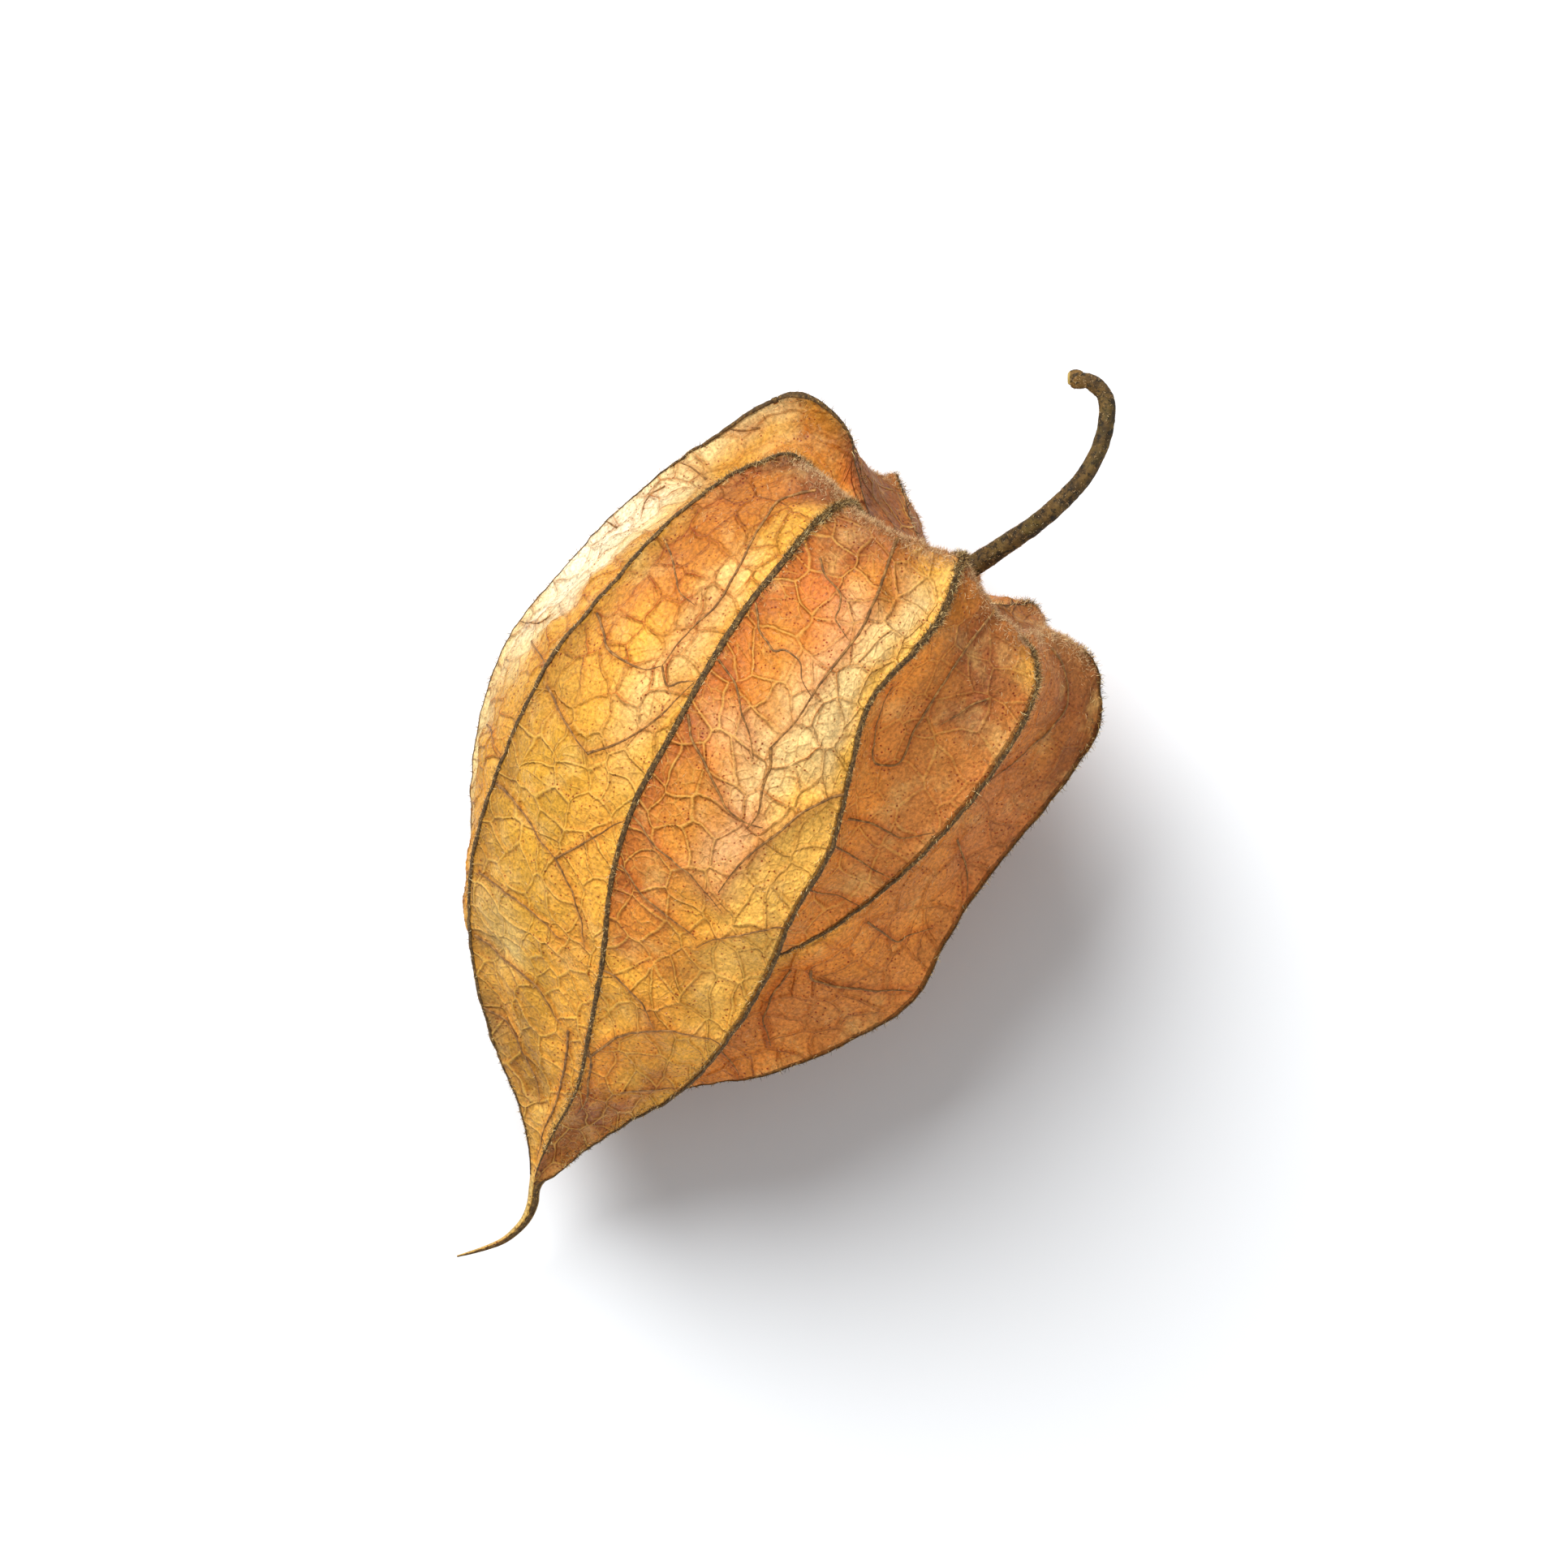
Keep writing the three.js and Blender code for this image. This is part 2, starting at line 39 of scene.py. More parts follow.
# ------------------------------------------------------------------ the husk's guide lines, in mm
# Twenty lines run from the ring round the stem, over the shoulder and down to the end of the tail: each rib, and the
# middle line of the panel that follows it.
LINES = [
    [(15.60, -1.25, 15.25), (16.66, 2.44, 15.45), (18.38, 4.69, 15.45), (19.73, 6.32, 15.85), (19.75, 9.52, 16.45), (14.85, 12.12, 13.95), (12.20, 13.11, 13.55), (8.66, 13.97, 12.95), (4.66, 14.48, 12.55), (0.66, 14.76, 12.15), (-3.36, 13.98, 11.55), (-7.39, 12.07, 10.76), (-11.49, 9.16, 8.02), (-15.15, 6.09, 6.43), (-18.32, 2.86, 6.25), (-21.03, -1.04, 6.19), (-22.98, -2.93, 6.08), (-24.29, -3.66, 6.25), (-25.12, -4.10, 5.75), (-25.97, -4.34, 5.25), (-26.83, -4.31, 4.85), (-27.69, -4.10, 4.45), (-28.51, -3.66, 4.15), (-29.26, -3.16, 3.95), (-29.96, -2.66, 3.85)],
    [(15.59, -1.32, 15.67), (16.28, 1.90, 16.05), (16.82, 4.11, 15.85), (17.25, 5.74, 16.15), (17.16, 8.25, 16.15), (14.78, 9.32, 16.27), (12.12, 10.65, 16.82), (8.60, 12.11, 16.96), (4.64, 12.94, 16.87), (0.67, 13.52, 16.65), (-3.30, 12.96, 15.78), (-7.31, 11.60, 14.21), (-11.39, 9.42, 11.33), (-15.05, 6.69, 8.90), (-18.25, 3.29, 7.82), (-20.99, -0.82, 7.01), (-22.96, -2.83, 6.46), (-24.28, -3.67, 6.34), (-25.11, -4.12, 5.83), (-25.96, -4.35, 5.33), (-26.83, -4.32, 4.92), (-27.69, -4.11, 4.51), (-28.51, -3.67, 4.20), (-29.26, -3.16, 3.99), (-29.96, -2.67, 3.88)],
    [(15.58, -1.51, 16.04), (15.99, 1.28, 17.05), (16.05, 3.73, 17.85), (16.45, 5.68, 19.05), (16.61, 7.66, 20.55), (14.67, 9.43, 19.85), (12.02, 10.44, 20.85), (8.53, 11.22, 21.25), (4.61, 11.61, 21.25), (0.69, 11.92, 21.05), (-3.25, 11.39, 19.85), (-7.23, 10.54, 17.55), (-11.28, 9.08, 14.65), (-14.95, 6.67, 11.45), (-18.17, 3.31, 9.45), (-20.94, -0.81, 7.85), (-22.94, -2.83, 6.85), (-24.25, -3.71, 6.43), (-25.09, -4.16, 5.91), (-25.96, -4.39, 5.40), (-26.83, -4.35, 4.98), (-27.70, -4.13, 4.57), (-28.51, -3.69, 4.25), (-29.27, -3.17, 4.03), (-29.96, -2.67, 3.91)],
    [(15.57, -1.81, 16.34), (15.71, 0.44, 17.55), (15.48, 2.62, 19.15), (16.46, 4.55, 21.25), (16.59, 5.75, 22.55), (14.59, 6.92, 22.49), (11.95, 7.65, 23.90), (8.48, 8.24, 24.66), (4.59, 8.38, 24.89), (0.70, 8.25, 24.71), (-3.20, 7.76, 23.61), (-7.15, 6.62, 21.29), (-11.16, 4.66, 18.28), (-14.82, 2.59, 14.79), (-18.07, 0.19, 11.56), (-20.89, -1.94, 8.79), (-22.91, -3.11, 7.32), (-24.21, -3.78, 6.49), (-25.06, -4.22, 5.97), (-25.95, -4.45, 5.45), (-26.83, -4.40, 5.03), (-27.71, -4.17, 4.61), (-28.53, -3.71, 4.29), (-29.28, -3.19, 4.06), (-29.96, -2.68, 3.93)],
    [(15.56, -2.18, 16.53), (15.87, -0.40, 18.05), (15.96, 1.51, 20.45), (16.24, 3.01, 22.45), (16.08, 3.91, 23.25), (14.54, 4.55, 24.25), (11.91, 4.74, 25.55), (8.45, 4.90, 26.15), (4.58, 4.69, 26.25), (0.71, 4.22, 25.85), (-3.18, 3.72, 24.85), (-7.12, 2.45, 22.65), (-11.11, 0.29, 19.85), (-14.75, -1.36, 16.45), (-18.01, -2.69, 12.65), (-20.87, -3.05, 9.25), (-22.89, -3.42, 7.65), (-24.16, -3.86, 6.54), (-25.03, -4.31, 6.01), (-25.94, -4.53, 5.49), (-26.84, -4.46, 5.06), (-27.73, -4.21, 4.64), (-28.55, -3.74, 4.31), (-29.29, -3.21, 4.08), (-29.97, -2.69, 3.95)],
    [(15.56, -2.60, 16.60), (16.00, -1.58, 17.95), (16.01, -0.63, 20.25), (16.47, 0.36, 23.25), (16.35, 0.65, 24.35), (14.51, -0.46, 25.12), (11.88, -0.30, 27.00), (8.43, -0.00, 27.68), (4.57, -0.84, 27.55), (0.71, -1.66, 26.74), (-3.17, -1.70, 25.62), (-7.11, -2.62, 22.99), (-11.12, -3.86, 19.72), (-14.79, -4.56, 15.38), (-18.07, -4.52, 11.55), (-20.89, -4.07, 8.76), (-22.92, -3.95, 7.18), (-24.11, -3.95, 6.55), (-24.99, -4.40, 6.02), (-25.93, -4.61, 5.50), (-26.86, -4.53, 5.07), (-27.75, -4.26, 4.65), (-28.57, -3.78, 4.32), (-29.31, -3.24, 4.09), (-29.98, -2.71, 3.95)],
    [(15.56, -3.01, 16.53), (16.57, -2.77, 17.85), (17.11, -2.77, 20.05), (17.54, -2.81, 22.65), (17.36, -2.80, 23.95), (14.52, -3.58, 24.85), (11.89, -3.53, 26.45), (8.44, -3.14, 26.85), (4.58, -4.52, 26.25), (0.70, -6.08, 24.95), (-3.20, -6.48, 23.85), (-7.15, -7.38, 21.15), (-11.18, -7.60, 17.85), (-14.88, -7.22, 13.25), (-18.15, -5.83, 9.85), (-20.94, -4.85, 7.95), (-22.95, -4.41, 6.65), (-24.06, -4.04, 6.54), (-24.96, -4.49, 6.01), (-25.93, -4.69, 5.49), (-26.87, -4.60, 5.06), (-27.77, -4.31, 4.64), (-28.60, -3.81, 4.31), (-29.33, -3.26, 4.08), (-29.99, -2.72, 3.95)],
    [(15.57, -3.38, 16.34), (16.02, -3.80, 17.45), (15.86, -4.56, 19.45), (16.26, -5.55, 21.85), (16.32, -5.97, 22.65), (14.57, -5.80, 23.22), (11.95, -5.83, 24.11), (8.49, -5.48, 24.04), (4.60, -6.24, 23.09), (0.69, -6.77, 21.88), (-3.24, -6.52, 20.46), (-7.22, -6.12, 18.13), (-11.27, -6.15, 15.12), (-14.95, -6.12, 11.44), (-18.20, -5.34, 8.78), (-20.97, -4.72, 7.30), (-22.96, -4.32, 6.45), (-24.02, -4.13, 6.49), (-24.93, -4.57, 5.97), (-25.93, -4.77, 5.45), (-26.89, -4.66, 5.03), (-27.80, -4.36, 4.61), (-28.62, -3.84, 4.29), (-29.35, -3.28, 4.06), (-30.00, -2.73, 3.93)],
    [(15.58, -3.68, 16.04), (15.90, -4.84, 17.05), (15.66, -6.36, 18.85), (15.66, -7.57, 20.25), (15.60, -8.39, 20.85), (14.63, -9.82, 21.25), (12.00, -10.59, 21.85), (8.52, -10.77, 21.65), (4.61, -10.48, 20.85), (0.68, -9.76, 19.65), (-3.28, -8.44, 17.65), (-7.29, -6.40, 14.85), (-11.36, -5.63, 12.05), (-15.03, -5.38, 9.45), (-18.25, -5.04, 7.65), (-21.01, -4.59, 6.65), (-22.97, -4.23, 6.25), (-23.99, -4.19, 6.43), (-24.91, -4.64, 5.91), (-25.93, -4.83, 5.40), (-26.90, -4.71, 4.98), (-27.82, -4.40, 4.57), (-28.64, -3.87, 4.25), (-29.37, -3.30, 4.03), (-30.01, -2.74, 3.91)],
    [(15.59, -3.87, 15.67), (15.84, -5.07, 16.15), (15.55, -7.26, 17.05), (16.88, -8.76, 16.65), (17.05, -9.29, 16.85), (14.74, -10.90, 17.59), (12.10, -11.08, 17.66), (8.59, -11.10, 17.34), (4.64, -11.02, 16.77), (0.67, -11.01, 15.94), (-3.32, -10.93, 14.67), (-7.33, -9.39, 13.05), (-11.39, -7.94, 11.34), (-15.08, -6.37, 8.25), (-18.28, -5.38, 7.09), (-21.02, -4.66, 6.46), (-22.97, -4.27, 6.18), (-23.97, -4.23, 6.34), (-24.90, -4.68, 5.83), (-25.93, -4.87, 5.33), (-26.91, -4.74, 4.92), (-27.83, -4.42, 4.51), (-28.65, -3.88, 4.20), (-29.38, -3.31, 3.99), (-30.02, -2.75, 3.88)],
    [(15.60, -3.94, 15.25), (16.22, -5.29, 15.25), (16.49, -8.17, 15.25), (17.28, -10.37, 15.45), (17.45, -11.69, 15.65), (14.84, -14.12, 14.25), (12.19, -14.48, 13.85), (8.65, -14.37, 13.25), (4.66, -14.11, 12.85), (0.66, -14.26, 12.45), (-3.35, -14.76, 11.85), (-7.38, -13.18, 11.05), (-11.43, -10.61, 10.05), (-15.15, -7.21, 6.54), (-18.32, -5.59, 6.32), (-21.03, -4.74, 6.22), (-22.98, -4.33, 6.10), (-23.96, -4.25, 6.25), (-24.90, -4.70, 5.75), (-25.93, -4.88, 5.25), (-26.92, -4.75, 4.85), (-27.84, -4.43, 4.45), (-28.66, -3.89, 4.15), (-29.38, -3.32, 3.95), (-30.02, -2.75, 3.85)],
    [(15.62, -3.88, 14.83), (16.12, -4.92, 14.45), (16.24, -7.08, 13.45), (17.25, -8.74, 12.55), (17.23, -10.09, 11.85), (14.92, -12.31, 11.51), (12.27, -12.81, 10.54), (8.71, -12.94, 9.52), (4.68, -12.96, 8.84), (0.65, -13.28, 8.43), (-3.40, -13.89, 7.97), (-7.46, -12.46, 7.65), (-11.53, -9.63, 6.84), (-15.21, -6.46, 5.11), (-18.36, -5.11, 5.41), (-21.06, -4.54, 5.78), (-22.99, -4.26, 5.88), (-23.98, -4.24, 6.16), (-24.91, -4.68, 5.67), (-25.94, -4.87, 5.17), (-26.92, -4.74, 4.78), (-27.84, -4.42, 4.39), (-28.66, -3.88, 4.10), (-29.38, -3.31, 3.91), (-30.03, -2.75, 3.82)],
    [(15.63, -3.69, 14.46), (16.45, -4.55, 13.65), (17.06, -5.99, 11.65), (17.93, -7.08, 9.65), (18.19, -7.76, 8.85), (15.02, -11.61, 8.29), (12.36, -11.86, 6.93), (8.77, -11.68, 5.73), (4.71, -11.40, 4.97), (0.63, -11.51, 4.69), (-3.45, -12.04, 4.45), (-7.52, -10.77, 4.61), (-11.62, -7.88, 3.96), (-15.25, -5.23, 4.05), (-18.39, -4.31, 4.75), (-21.07, -4.17, 5.45), (-23.00, -4.11, 5.70), (-24.01, -4.19, 6.07), (-24.93, -4.64, 5.59), (-25.94, -4.83, 5.10), (-26.92, -4.71, 4.72), (-27.83, -4.40, 4.33), (-28.65, -3.87, 4.05), (-29.38, -3.30, 3.87), (-30.02, -2.74, 3.79)],
    [(15.64, -3.39, 14.16), (16.28, -3.71, 13.45), (16.63, -4.52, 11.25), (17.74, -5.21, 8.85), (17.37, -5.80, 7.85), (15.05, -7.97, 7.17), (12.40, -8.13, 5.34), (8.80, -8.07, 3.62), (4.72, -7.93, 2.51), (0.62, -8.09, 2.10), (-3.48, -8.66, 1.96), (-7.57, -7.82, 2.40), (-11.67, -5.76, 2.46), (-15.29, -3.83, 3.17), (-18.42, -3.46, 4.13), (-21.09, -3.81, 5.14), (-23.01, -3.99, 5.55), (-24.05, -4.13, 6.01), (-24.96, -4.58, 5.53), (-25.95, -4.77, 5.05), (-26.91, -4.66, 4.67), (-27.82, -4.36, 4.29), (-28.64, -3.84, 4.01), (-29.37, -3.28, 3.84), (-30.02, -2.73, 3.77)],
    [(15.65, -3.02, 13.97), (16.56, -2.87, 13.25), (17.26, -3.05, 10.85), (18.26, -3.32, 8.05), (18.41, -3.55, 6.65), (15.13, -5.12, 4.66), (12.46, -5.03, 2.74), (8.84, -4.65, 1.19), (4.74, -4.30, 0.22), (0.62, -4.30, 0.01), (-3.51, -4.91, -0.02), (-7.61, -4.51, 0.70), (-11.70, -3.32, 1.49), (-15.31, -2.25, 2.64), (-18.44, -2.43, 3.87), (-21.10, -3.35, 5.01), (-23.02, -3.80, 5.48), (-24.10, -4.05, 5.96), (-24.99, -4.49, 5.49), (-25.96, -4.70, 5.01), (-26.90, -4.60, 4.64), (-27.80, -4.31, 4.26), (-28.62, -3.81, 3.99), (-29.35, -3.26, 3.82), (-30.01, -2.72, 3.75)],
    [(15.65, -2.60, 13.90), (16.46, -2.02, 13.35), (16.99, -1.31, 11.05), (18.29, -0.67, 8.55), (18.13, -0.44, 6.85), (15.11, -1.09, 5.23), (12.45, -0.77, 3.11), (8.84, -0.27, 1.25), (4.74, 0.12, 0.08), (0.61, 0.19, -0.33), (-3.51, -0.47, -0.46), (-7.62, -0.62, 0.37), (-11.71, -0.65, 1.17), (-15.32, -0.58, 2.43), (-18.45, -1.38, 3.66), (-21.10, -2.90, 4.91), (-23.02, -3.63, 5.43), (-24.15, -3.96, 5.95), (-25.03, -4.40, 5.48), (-25.97, -4.61, 5.00), (-26.89, -4.53, 4.63), (-27.78, -4.26, 4.25), (-28.60, -3.78, 3.98), (-29.33, -3.24, 3.81), (-30.00, -2.71, 3.75)],
    [(15.65, -2.18, 13.97), (16.82, -1.18, 13.45), (17.79, 0.43, 11.25), (19.03, 1.97, 9.05), (19.40, 2.88, 7.85), (15.13, 2.94, 4.60), (12.46, 3.48, 2.67), (8.84, 4.11, 1.12), (4.74, 4.55, 0.14), (0.62, 4.68, -0.06), (-3.51, 3.97, -0.09), (-7.61, 3.27, 0.64), (-11.70, 2.03, 1.45), (-15.31, 1.09, 2.62), (-18.44, -0.33, 3.85), (-21.10, -2.44, 5.00), (-23.02, -3.46, 5.48), (-24.20, -3.86, 5.96), (-25.06, -4.31, 5.49), (-25.97, -4.53, 5.01), (-26.87, -4.46, 4.64), (-27.75, -4.21, 4.26), (-28.57, -3.74, 3.99), (-29.31, -3.21, 3.82), (-29.99, -2.69, 3.75)],
    [(15.64, -1.81, 14.16), (16.63, -0.20, 13.85), (17.44, 2.23, 12.05), (18.94, 3.90, 10.35), (18.86, 4.93, 8.85), (15.06, 5.83, 7.08), (12.40, 6.63, 5.23), (8.81, 7.56, 3.50), (4.72, 8.26, 2.29), (0.62, 8.56, 1.88), (-3.48, 7.81, 1.75), (-7.58, 6.66, 2.21), (-11.67, 4.48, 2.38), (-15.29, 2.68, 3.11), (-18.42, 0.70, 4.10), (-21.09, -1.98, 5.12), (-23.01, -3.28, 5.54), (-24.24, -3.78, 6.01), (-25.09, -4.23, 5.53), (-25.98, -4.45, 5.05), (-26.86, -4.40, 4.67), (-27.73, -4.17, 4.29), (-28.55, -3.71, 4.01), (-29.29, -3.19, 3.84), (-29.98, -2.68, 3.77)],
    [(15.63, -1.51, 14.46), (16.88, 0.77, 14.25), (18.17, 4.02, 12.85), (19.55, 5.82, 11.65), (19.66, 7.21, 11.25), (15.02, 9.49, 8.15), (12.36, 10.38, 6.76), (8.77, 11.20, 5.55), (4.71, 11.70, 4.78), (0.63, 11.94, 4.50), (-3.45, 11.16, 4.27), (-7.53, 9.58, 4.45), (-11.63, 6.62, 3.85), (-15.25, 4.08, 3.97), (-18.40, 1.56, 4.70), (-21.07, -1.62, 5.42), (-23.00, -3.15, 5.69), (-24.27, -3.72, 6.07), (-25.11, -4.16, 5.59), (-25.98, -4.39, 5.10), (-26.84, -4.35, 4.72), (-27.71, -4.13, 4.33), (-28.53, -3.69, 4.05), (-29.28, -3.17, 3.87), (-29.97, -2.67, 3.79)],
    [(15.62, -1.32, 14.83), (16.55, 1.60, 14.85), (17.74, 4.36, 14.15), (19.29, 6.07, 13.75), (18.67, 8.31, 13.65), (14.92, 9.90, 11.48), (12.27, 11.01, 10.47), (8.71, 12.31, 9.36), (4.69, 13.20, 8.63), (0.64, 13.65, 8.21), (-3.41, 12.96, 7.76), (-7.46, 11.22, 7.45), (-11.57, 8.16, 5.78), (-15.21, 5.25, 5.08), (-18.36, 2.37, 5.35), (-21.06, -1.25, 5.74), (-22.99, -2.99, 5.86), (-24.29, -3.67, 6.16), (-25.12, -4.12, 5.67), (-25.97, -4.35, 5.17), (-26.83, -4.32, 4.78), (-27.70, -4.11, 4.39), (-28.51, -3.67, 4.10), (-29.27, -3.16, 3.91), (-29.96, -2.67, 3.82)],
]
STEM = [(16.26, -2.78, 15.35, 0.60), (16.88, -3.12, 15.65, 0.60), (17.84, -3.56, 15.95, 0.60), (19.03, -4.04, 16.45, 0.56), (20.26, -4.49, 17.05, 0.53), (21.48, -4.94, 17.65, 0.51), (22.84, -5.29, 18.25, 0.50), (24.35, -5.54, 18.65, 0.48), (25.84, -5.53, 18.95, 0.46), (27.53, -5.12, 19.05, 0.45), (28.71, -4.49, 18.95, 0.45), (29.29, -3.87, 18.85, 0.46), (29.47, -3.20, 18.75, 0.50), (29.43, -2.74, 18.70, 0.60), (29.32, -2.39, 18.65, 0.62)]
VEINS = [
    (2, 0.75, [(0.07, 6.86), (0.27, 7.04), (0.38, 7.19), (0.50, 7.34), (0.65, 7.36)]),
    (2, 1.00, [(0.05, 8.23), (0.22, 8.39), (0.32, 8.53), (0.47, 8.54), (0.63, 8.47), (0.72, 8.29)]),
    (2, 1.00, [(0.07, 9.44), (0.15, 9.51), (0.22, 9.58), (0.30, 9.65), (0.40, 9.72), (0.48, 9.80), (0.57, 9.86)]),
    (2, 0.75, [(0.57, 9.86), (0.70, 9.56), (0.80, 9.22), (0.88, 8.83), (0.92, 8.51), (0.97, 8.19)]),
    (2, 1.00, [(0.02, 10.92), (0.10, 10.93), (0.18, 10.95), (0.25, 11.02), (0.32, 11.08), (0.38, 11.14), (0.43, 11.20), (0.52, 11.23), (0.58, 11.27)]),
    (2, 0.75, [(0.58, 11.27), (0.65, 11.12), (0.72, 10.97), (0.78, 10.81), (0.85, 10.64), (0.90, 10.49), (0.97, 10.32)]),
    (2, 0.75, [(0.05, 12.05), (0.12, 12.05), (0.20, 12.03), (0.30, 12.03), (0.38, 12.04), (0.48, 12.06), (0.58, 12.09), (0.68, 12.16)]),
    (2, 1.00, [(0.03, 12.87), (0.12, 12.89), (0.20, 12.92), (0.28, 12.93), (0.37, 12.94), (0.50, 12.98), (0.60, 13.11), (0.68, 13.24), (0.75, 13.25)]),
    (2, 0.75, [(0.00, 13.77), (0.08, 13.81), (0.18, 13.83), (0.25, 13.92), (0.33, 13.99), (0.37, 14.12), (0.40, 14.25), (0.45, 14.37), (0.47, 14.55), (0.50, 14.72)]),
    (2, 1.00, [(0.63, 4.39), (0.53, 4.98), (0.60, 5.59), (0.67, 6.14), (0.73, 6.51), (0.77, 6.87), (0.78, 7.20), (0.75, 7.51), (0.72, 7.85), (0.72, 8.29)]),
    (2, 0.75, [(0.72, 8.29), (0.82, 8.47), (0.88, 8.33), (0.97, 8.19)]),
    (2, 0.75, [(0.58, 11.27), (0.63, 11.35), (0.68, 11.44), (0.73, 11.52), (0.77, 11.67), (0.82, 11.81), (0.83, 11.94), (0.85, 12.08)]),
    (3, 0.75, [(0.02, 6.83), (0.07, 6.99), (0.12, 7.14), (0.18, 7.19), (0.23, 7.24), (0.28, 7.14), (0.38, 7.15), (0.45, 7.34), (0.55, 7.45)]),
    (3, 0.75, [(0.02, 7.77), (0.07, 7.83), (0.13, 7.89), (0.17, 7.98), (0.20, 8.07), (0.23, 8.17), (0.28, 8.28), (0.32, 8.39), (0.37, 8.60), (0.33, 8.53)]),
    (3, 1.00, [(0.02, 8.62), (0.05, 8.74), (0.08, 8.86), (0.17, 9.00), (0.22, 9.09), (0.27, 9.18), (0.32, 9.26), (0.38, 9.35), (0.48, 9.36), (0.58, 9.28)]),
    (3, 1.00, [(1.00, 8.26), (0.85, 8.51), (0.73, 8.82), (0.67, 9.17), (0.63, 9.49), (0.60, 9.82), (0.58, 10.15), (0.57, 10.31)]),
    (3, 0.75, [(0.02, 10.18), (0.08, 10.22), (0.13, 10.27), (0.20, 10.32), (0.27, 10.31), (0.32, 10.32), (0.38, 10.31), (0.45, 10.37), (0.53, 10.42), (0.63, 10.50)]),
    (3, 0.75, [(0.03, 10.82), (0.10, 10.86), (0.15, 10.92), (0.22, 10.97), (0.30, 10.98), (0.37, 11.00), (0.45, 11.01), (0.55, 11.03)]),
    (3, 0.75, [(1.00, 10.08), (1.00, 10.18), (0.95, 10.27), (0.88, 10.37), (0.80, 10.54), (0.72, 10.71), (0.65, 10.87), (0.60, 11.01), (0.57, 11.11)]),
    (3, 0.75, [(0.00, 12.15), (0.05, 12.13), (0.15, 12.09), (0.23, 12.12), (0.32, 12.14), (0.40, 12.24), (0.48, 12.36)]),
    (3, 1.00, [(0.00, 13.26), (0.03, 13.39), (0.23, 12.83), (0.40, 12.52), (0.57, 12.30), (0.75, 12.16), (1.00, 12.00)]),
    (3, 0.75, [(0.47, 13.47), (0.60, 13.35), (0.73, 13.22), (0.85, 13.09), (0.97, 12.96)]),
    (3, 1.00, [(0.50, 4.13), (0.43, 5.03), (0.50, 5.75), (0.57, 6.37), (0.58, 6.97), (0.55, 7.33), (0.50, 7.85), (0.43, 8.32)]),
    (3, 1.00, [(0.43, 8.32), (0.47, 8.55), (0.47, 8.72), (0.48, 8.88), (0.52, 9.16), (0.52, 9.40)]),
    (3, 0.75, [(0.12, 5.64), (0.20, 5.85), (0.27, 5.92), (0.32, 5.98), (0.37, 6.17), (0.40, 6.35), (0.47, 6.42), (0.55, 6.49)]),
    (4, 1.00, [(0.45, 3.85), (0.50, 4.91), (0.50, 5.81), (0.55, 6.48), (0.58, 6.99), (0.58, 7.51), (0.42, 7.67), (0.32, 7.35), (0.25, 6.91), (0.20, 6.64)]),
    (4, 0.75, [(0.80, 5.90), (0.75, 6.14), (0.72, 6.41), (0.68, 6.69)]),
    (4, 0.75, [(0.37, 8.51), (0.52, 8.44), (0.63, 8.37), (0.75, 8.33), (0.85, 8.29), (0.92, 8.13), (0.97, 7.97)]),
    (4, 0.75, [(0.25, 8.92), (0.50, 8.90), (0.63, 8.89), (0.77, 8.88), (0.88, 8.87), (0.97, 8.82), (1.00, 8.77)]),
    (4, 0.75, [(0.00, 9.66), (0.63, 9.56), (0.80, 9.46), (0.92, 9.41), (1.00, 9.35)]),
    (5, 1.00, [(0.38, 4.33), (0.67, 4.79), (0.70, 5.61), (0.65, 6.16), (0.62, 6.51), (0.52, 6.97)]),
    (5, 1.00, [(0.30, 10.44), (0.38, 10.53), (0.47, 10.47), (0.55, 10.40), (0.62, 10.33), (0.68, 10.26), (0.77, 10.18), (0.83, 10.09), (0.90, 10.00), (0.97, 9.92)]),
    (5, 0.75, [(0.33, 9.50), (0.53, 9.49), (0.68, 9.48), (0.75, 9.34), (0.83, 9.19), (0.90, 9.05)]),
    (5, 0.75, [(0.63, 7.86), (0.80, 8.03), (0.88, 8.14), (0.93, 8.26), (0.97, 8.43)]),
    (5, 0.75, [(0.23, 10.63), (0.30, 10.85), (0.35, 11.07), (0.42, 11.24), (0.48, 11.40), (0.62, 11.52), (0.75, 11.64)]),
    (5, 0.75, [(0.00, 12.08), (0.73, 12.17), (0.98, 12.26)]),
    (1, 0.75, [(0.13, 7.12), (0.00, 7.14), (0.00, 7.15)]),
    (1, 0.75, [(0.50, 8.63), (0.40, 8.80), (0.00, 8.93)]),
    (1, 0.75, [(0.50, 9.06), (0.87, 9.17), (1.00, 9.31)]),
    (1, 0.75, [(0.33, 10.34), (0.68, 10.37), (0.93, 10.56)]),
    (1, 0.75, [(0.13, 4.50), (0.07, 4.66), (0.00, 4.76)]),
    (1, 0.75, [(0.28, 5.64), (0.08, 5.62), (0.00, 5.70)]),
    (1, 0.75, [(0.12, 6.20), (0.10, 6.47), (0.18, 6.65), (0.28, 6.82)]),
    (3, 1.00, [(0.00, 13.06), (0.00, 13.25), (0.07, 13.42), (0.10, 13.74), (0.17, 14.00), (0.18, 14.38)]),
    (2, 1.00, [(0.82, 13.26), (0.82, 13.47), (0.82, 13.68), (0.82, 13.89), (0.80, 14.15), (0.80, 14.41), (0.80, 14.68), (0.67, 15.20), (0.65, 15.52), (0.60, 15.86)]),
]

RING, LIP, RIM, BODY, TIP, TAIL_END = 0, 3, 4, 5, 16, 24
RIBS, NS = 10, 46                       # ribs, and columns across one panel
NU = RIBS * NS
rng = np.random.default_rng(20261)


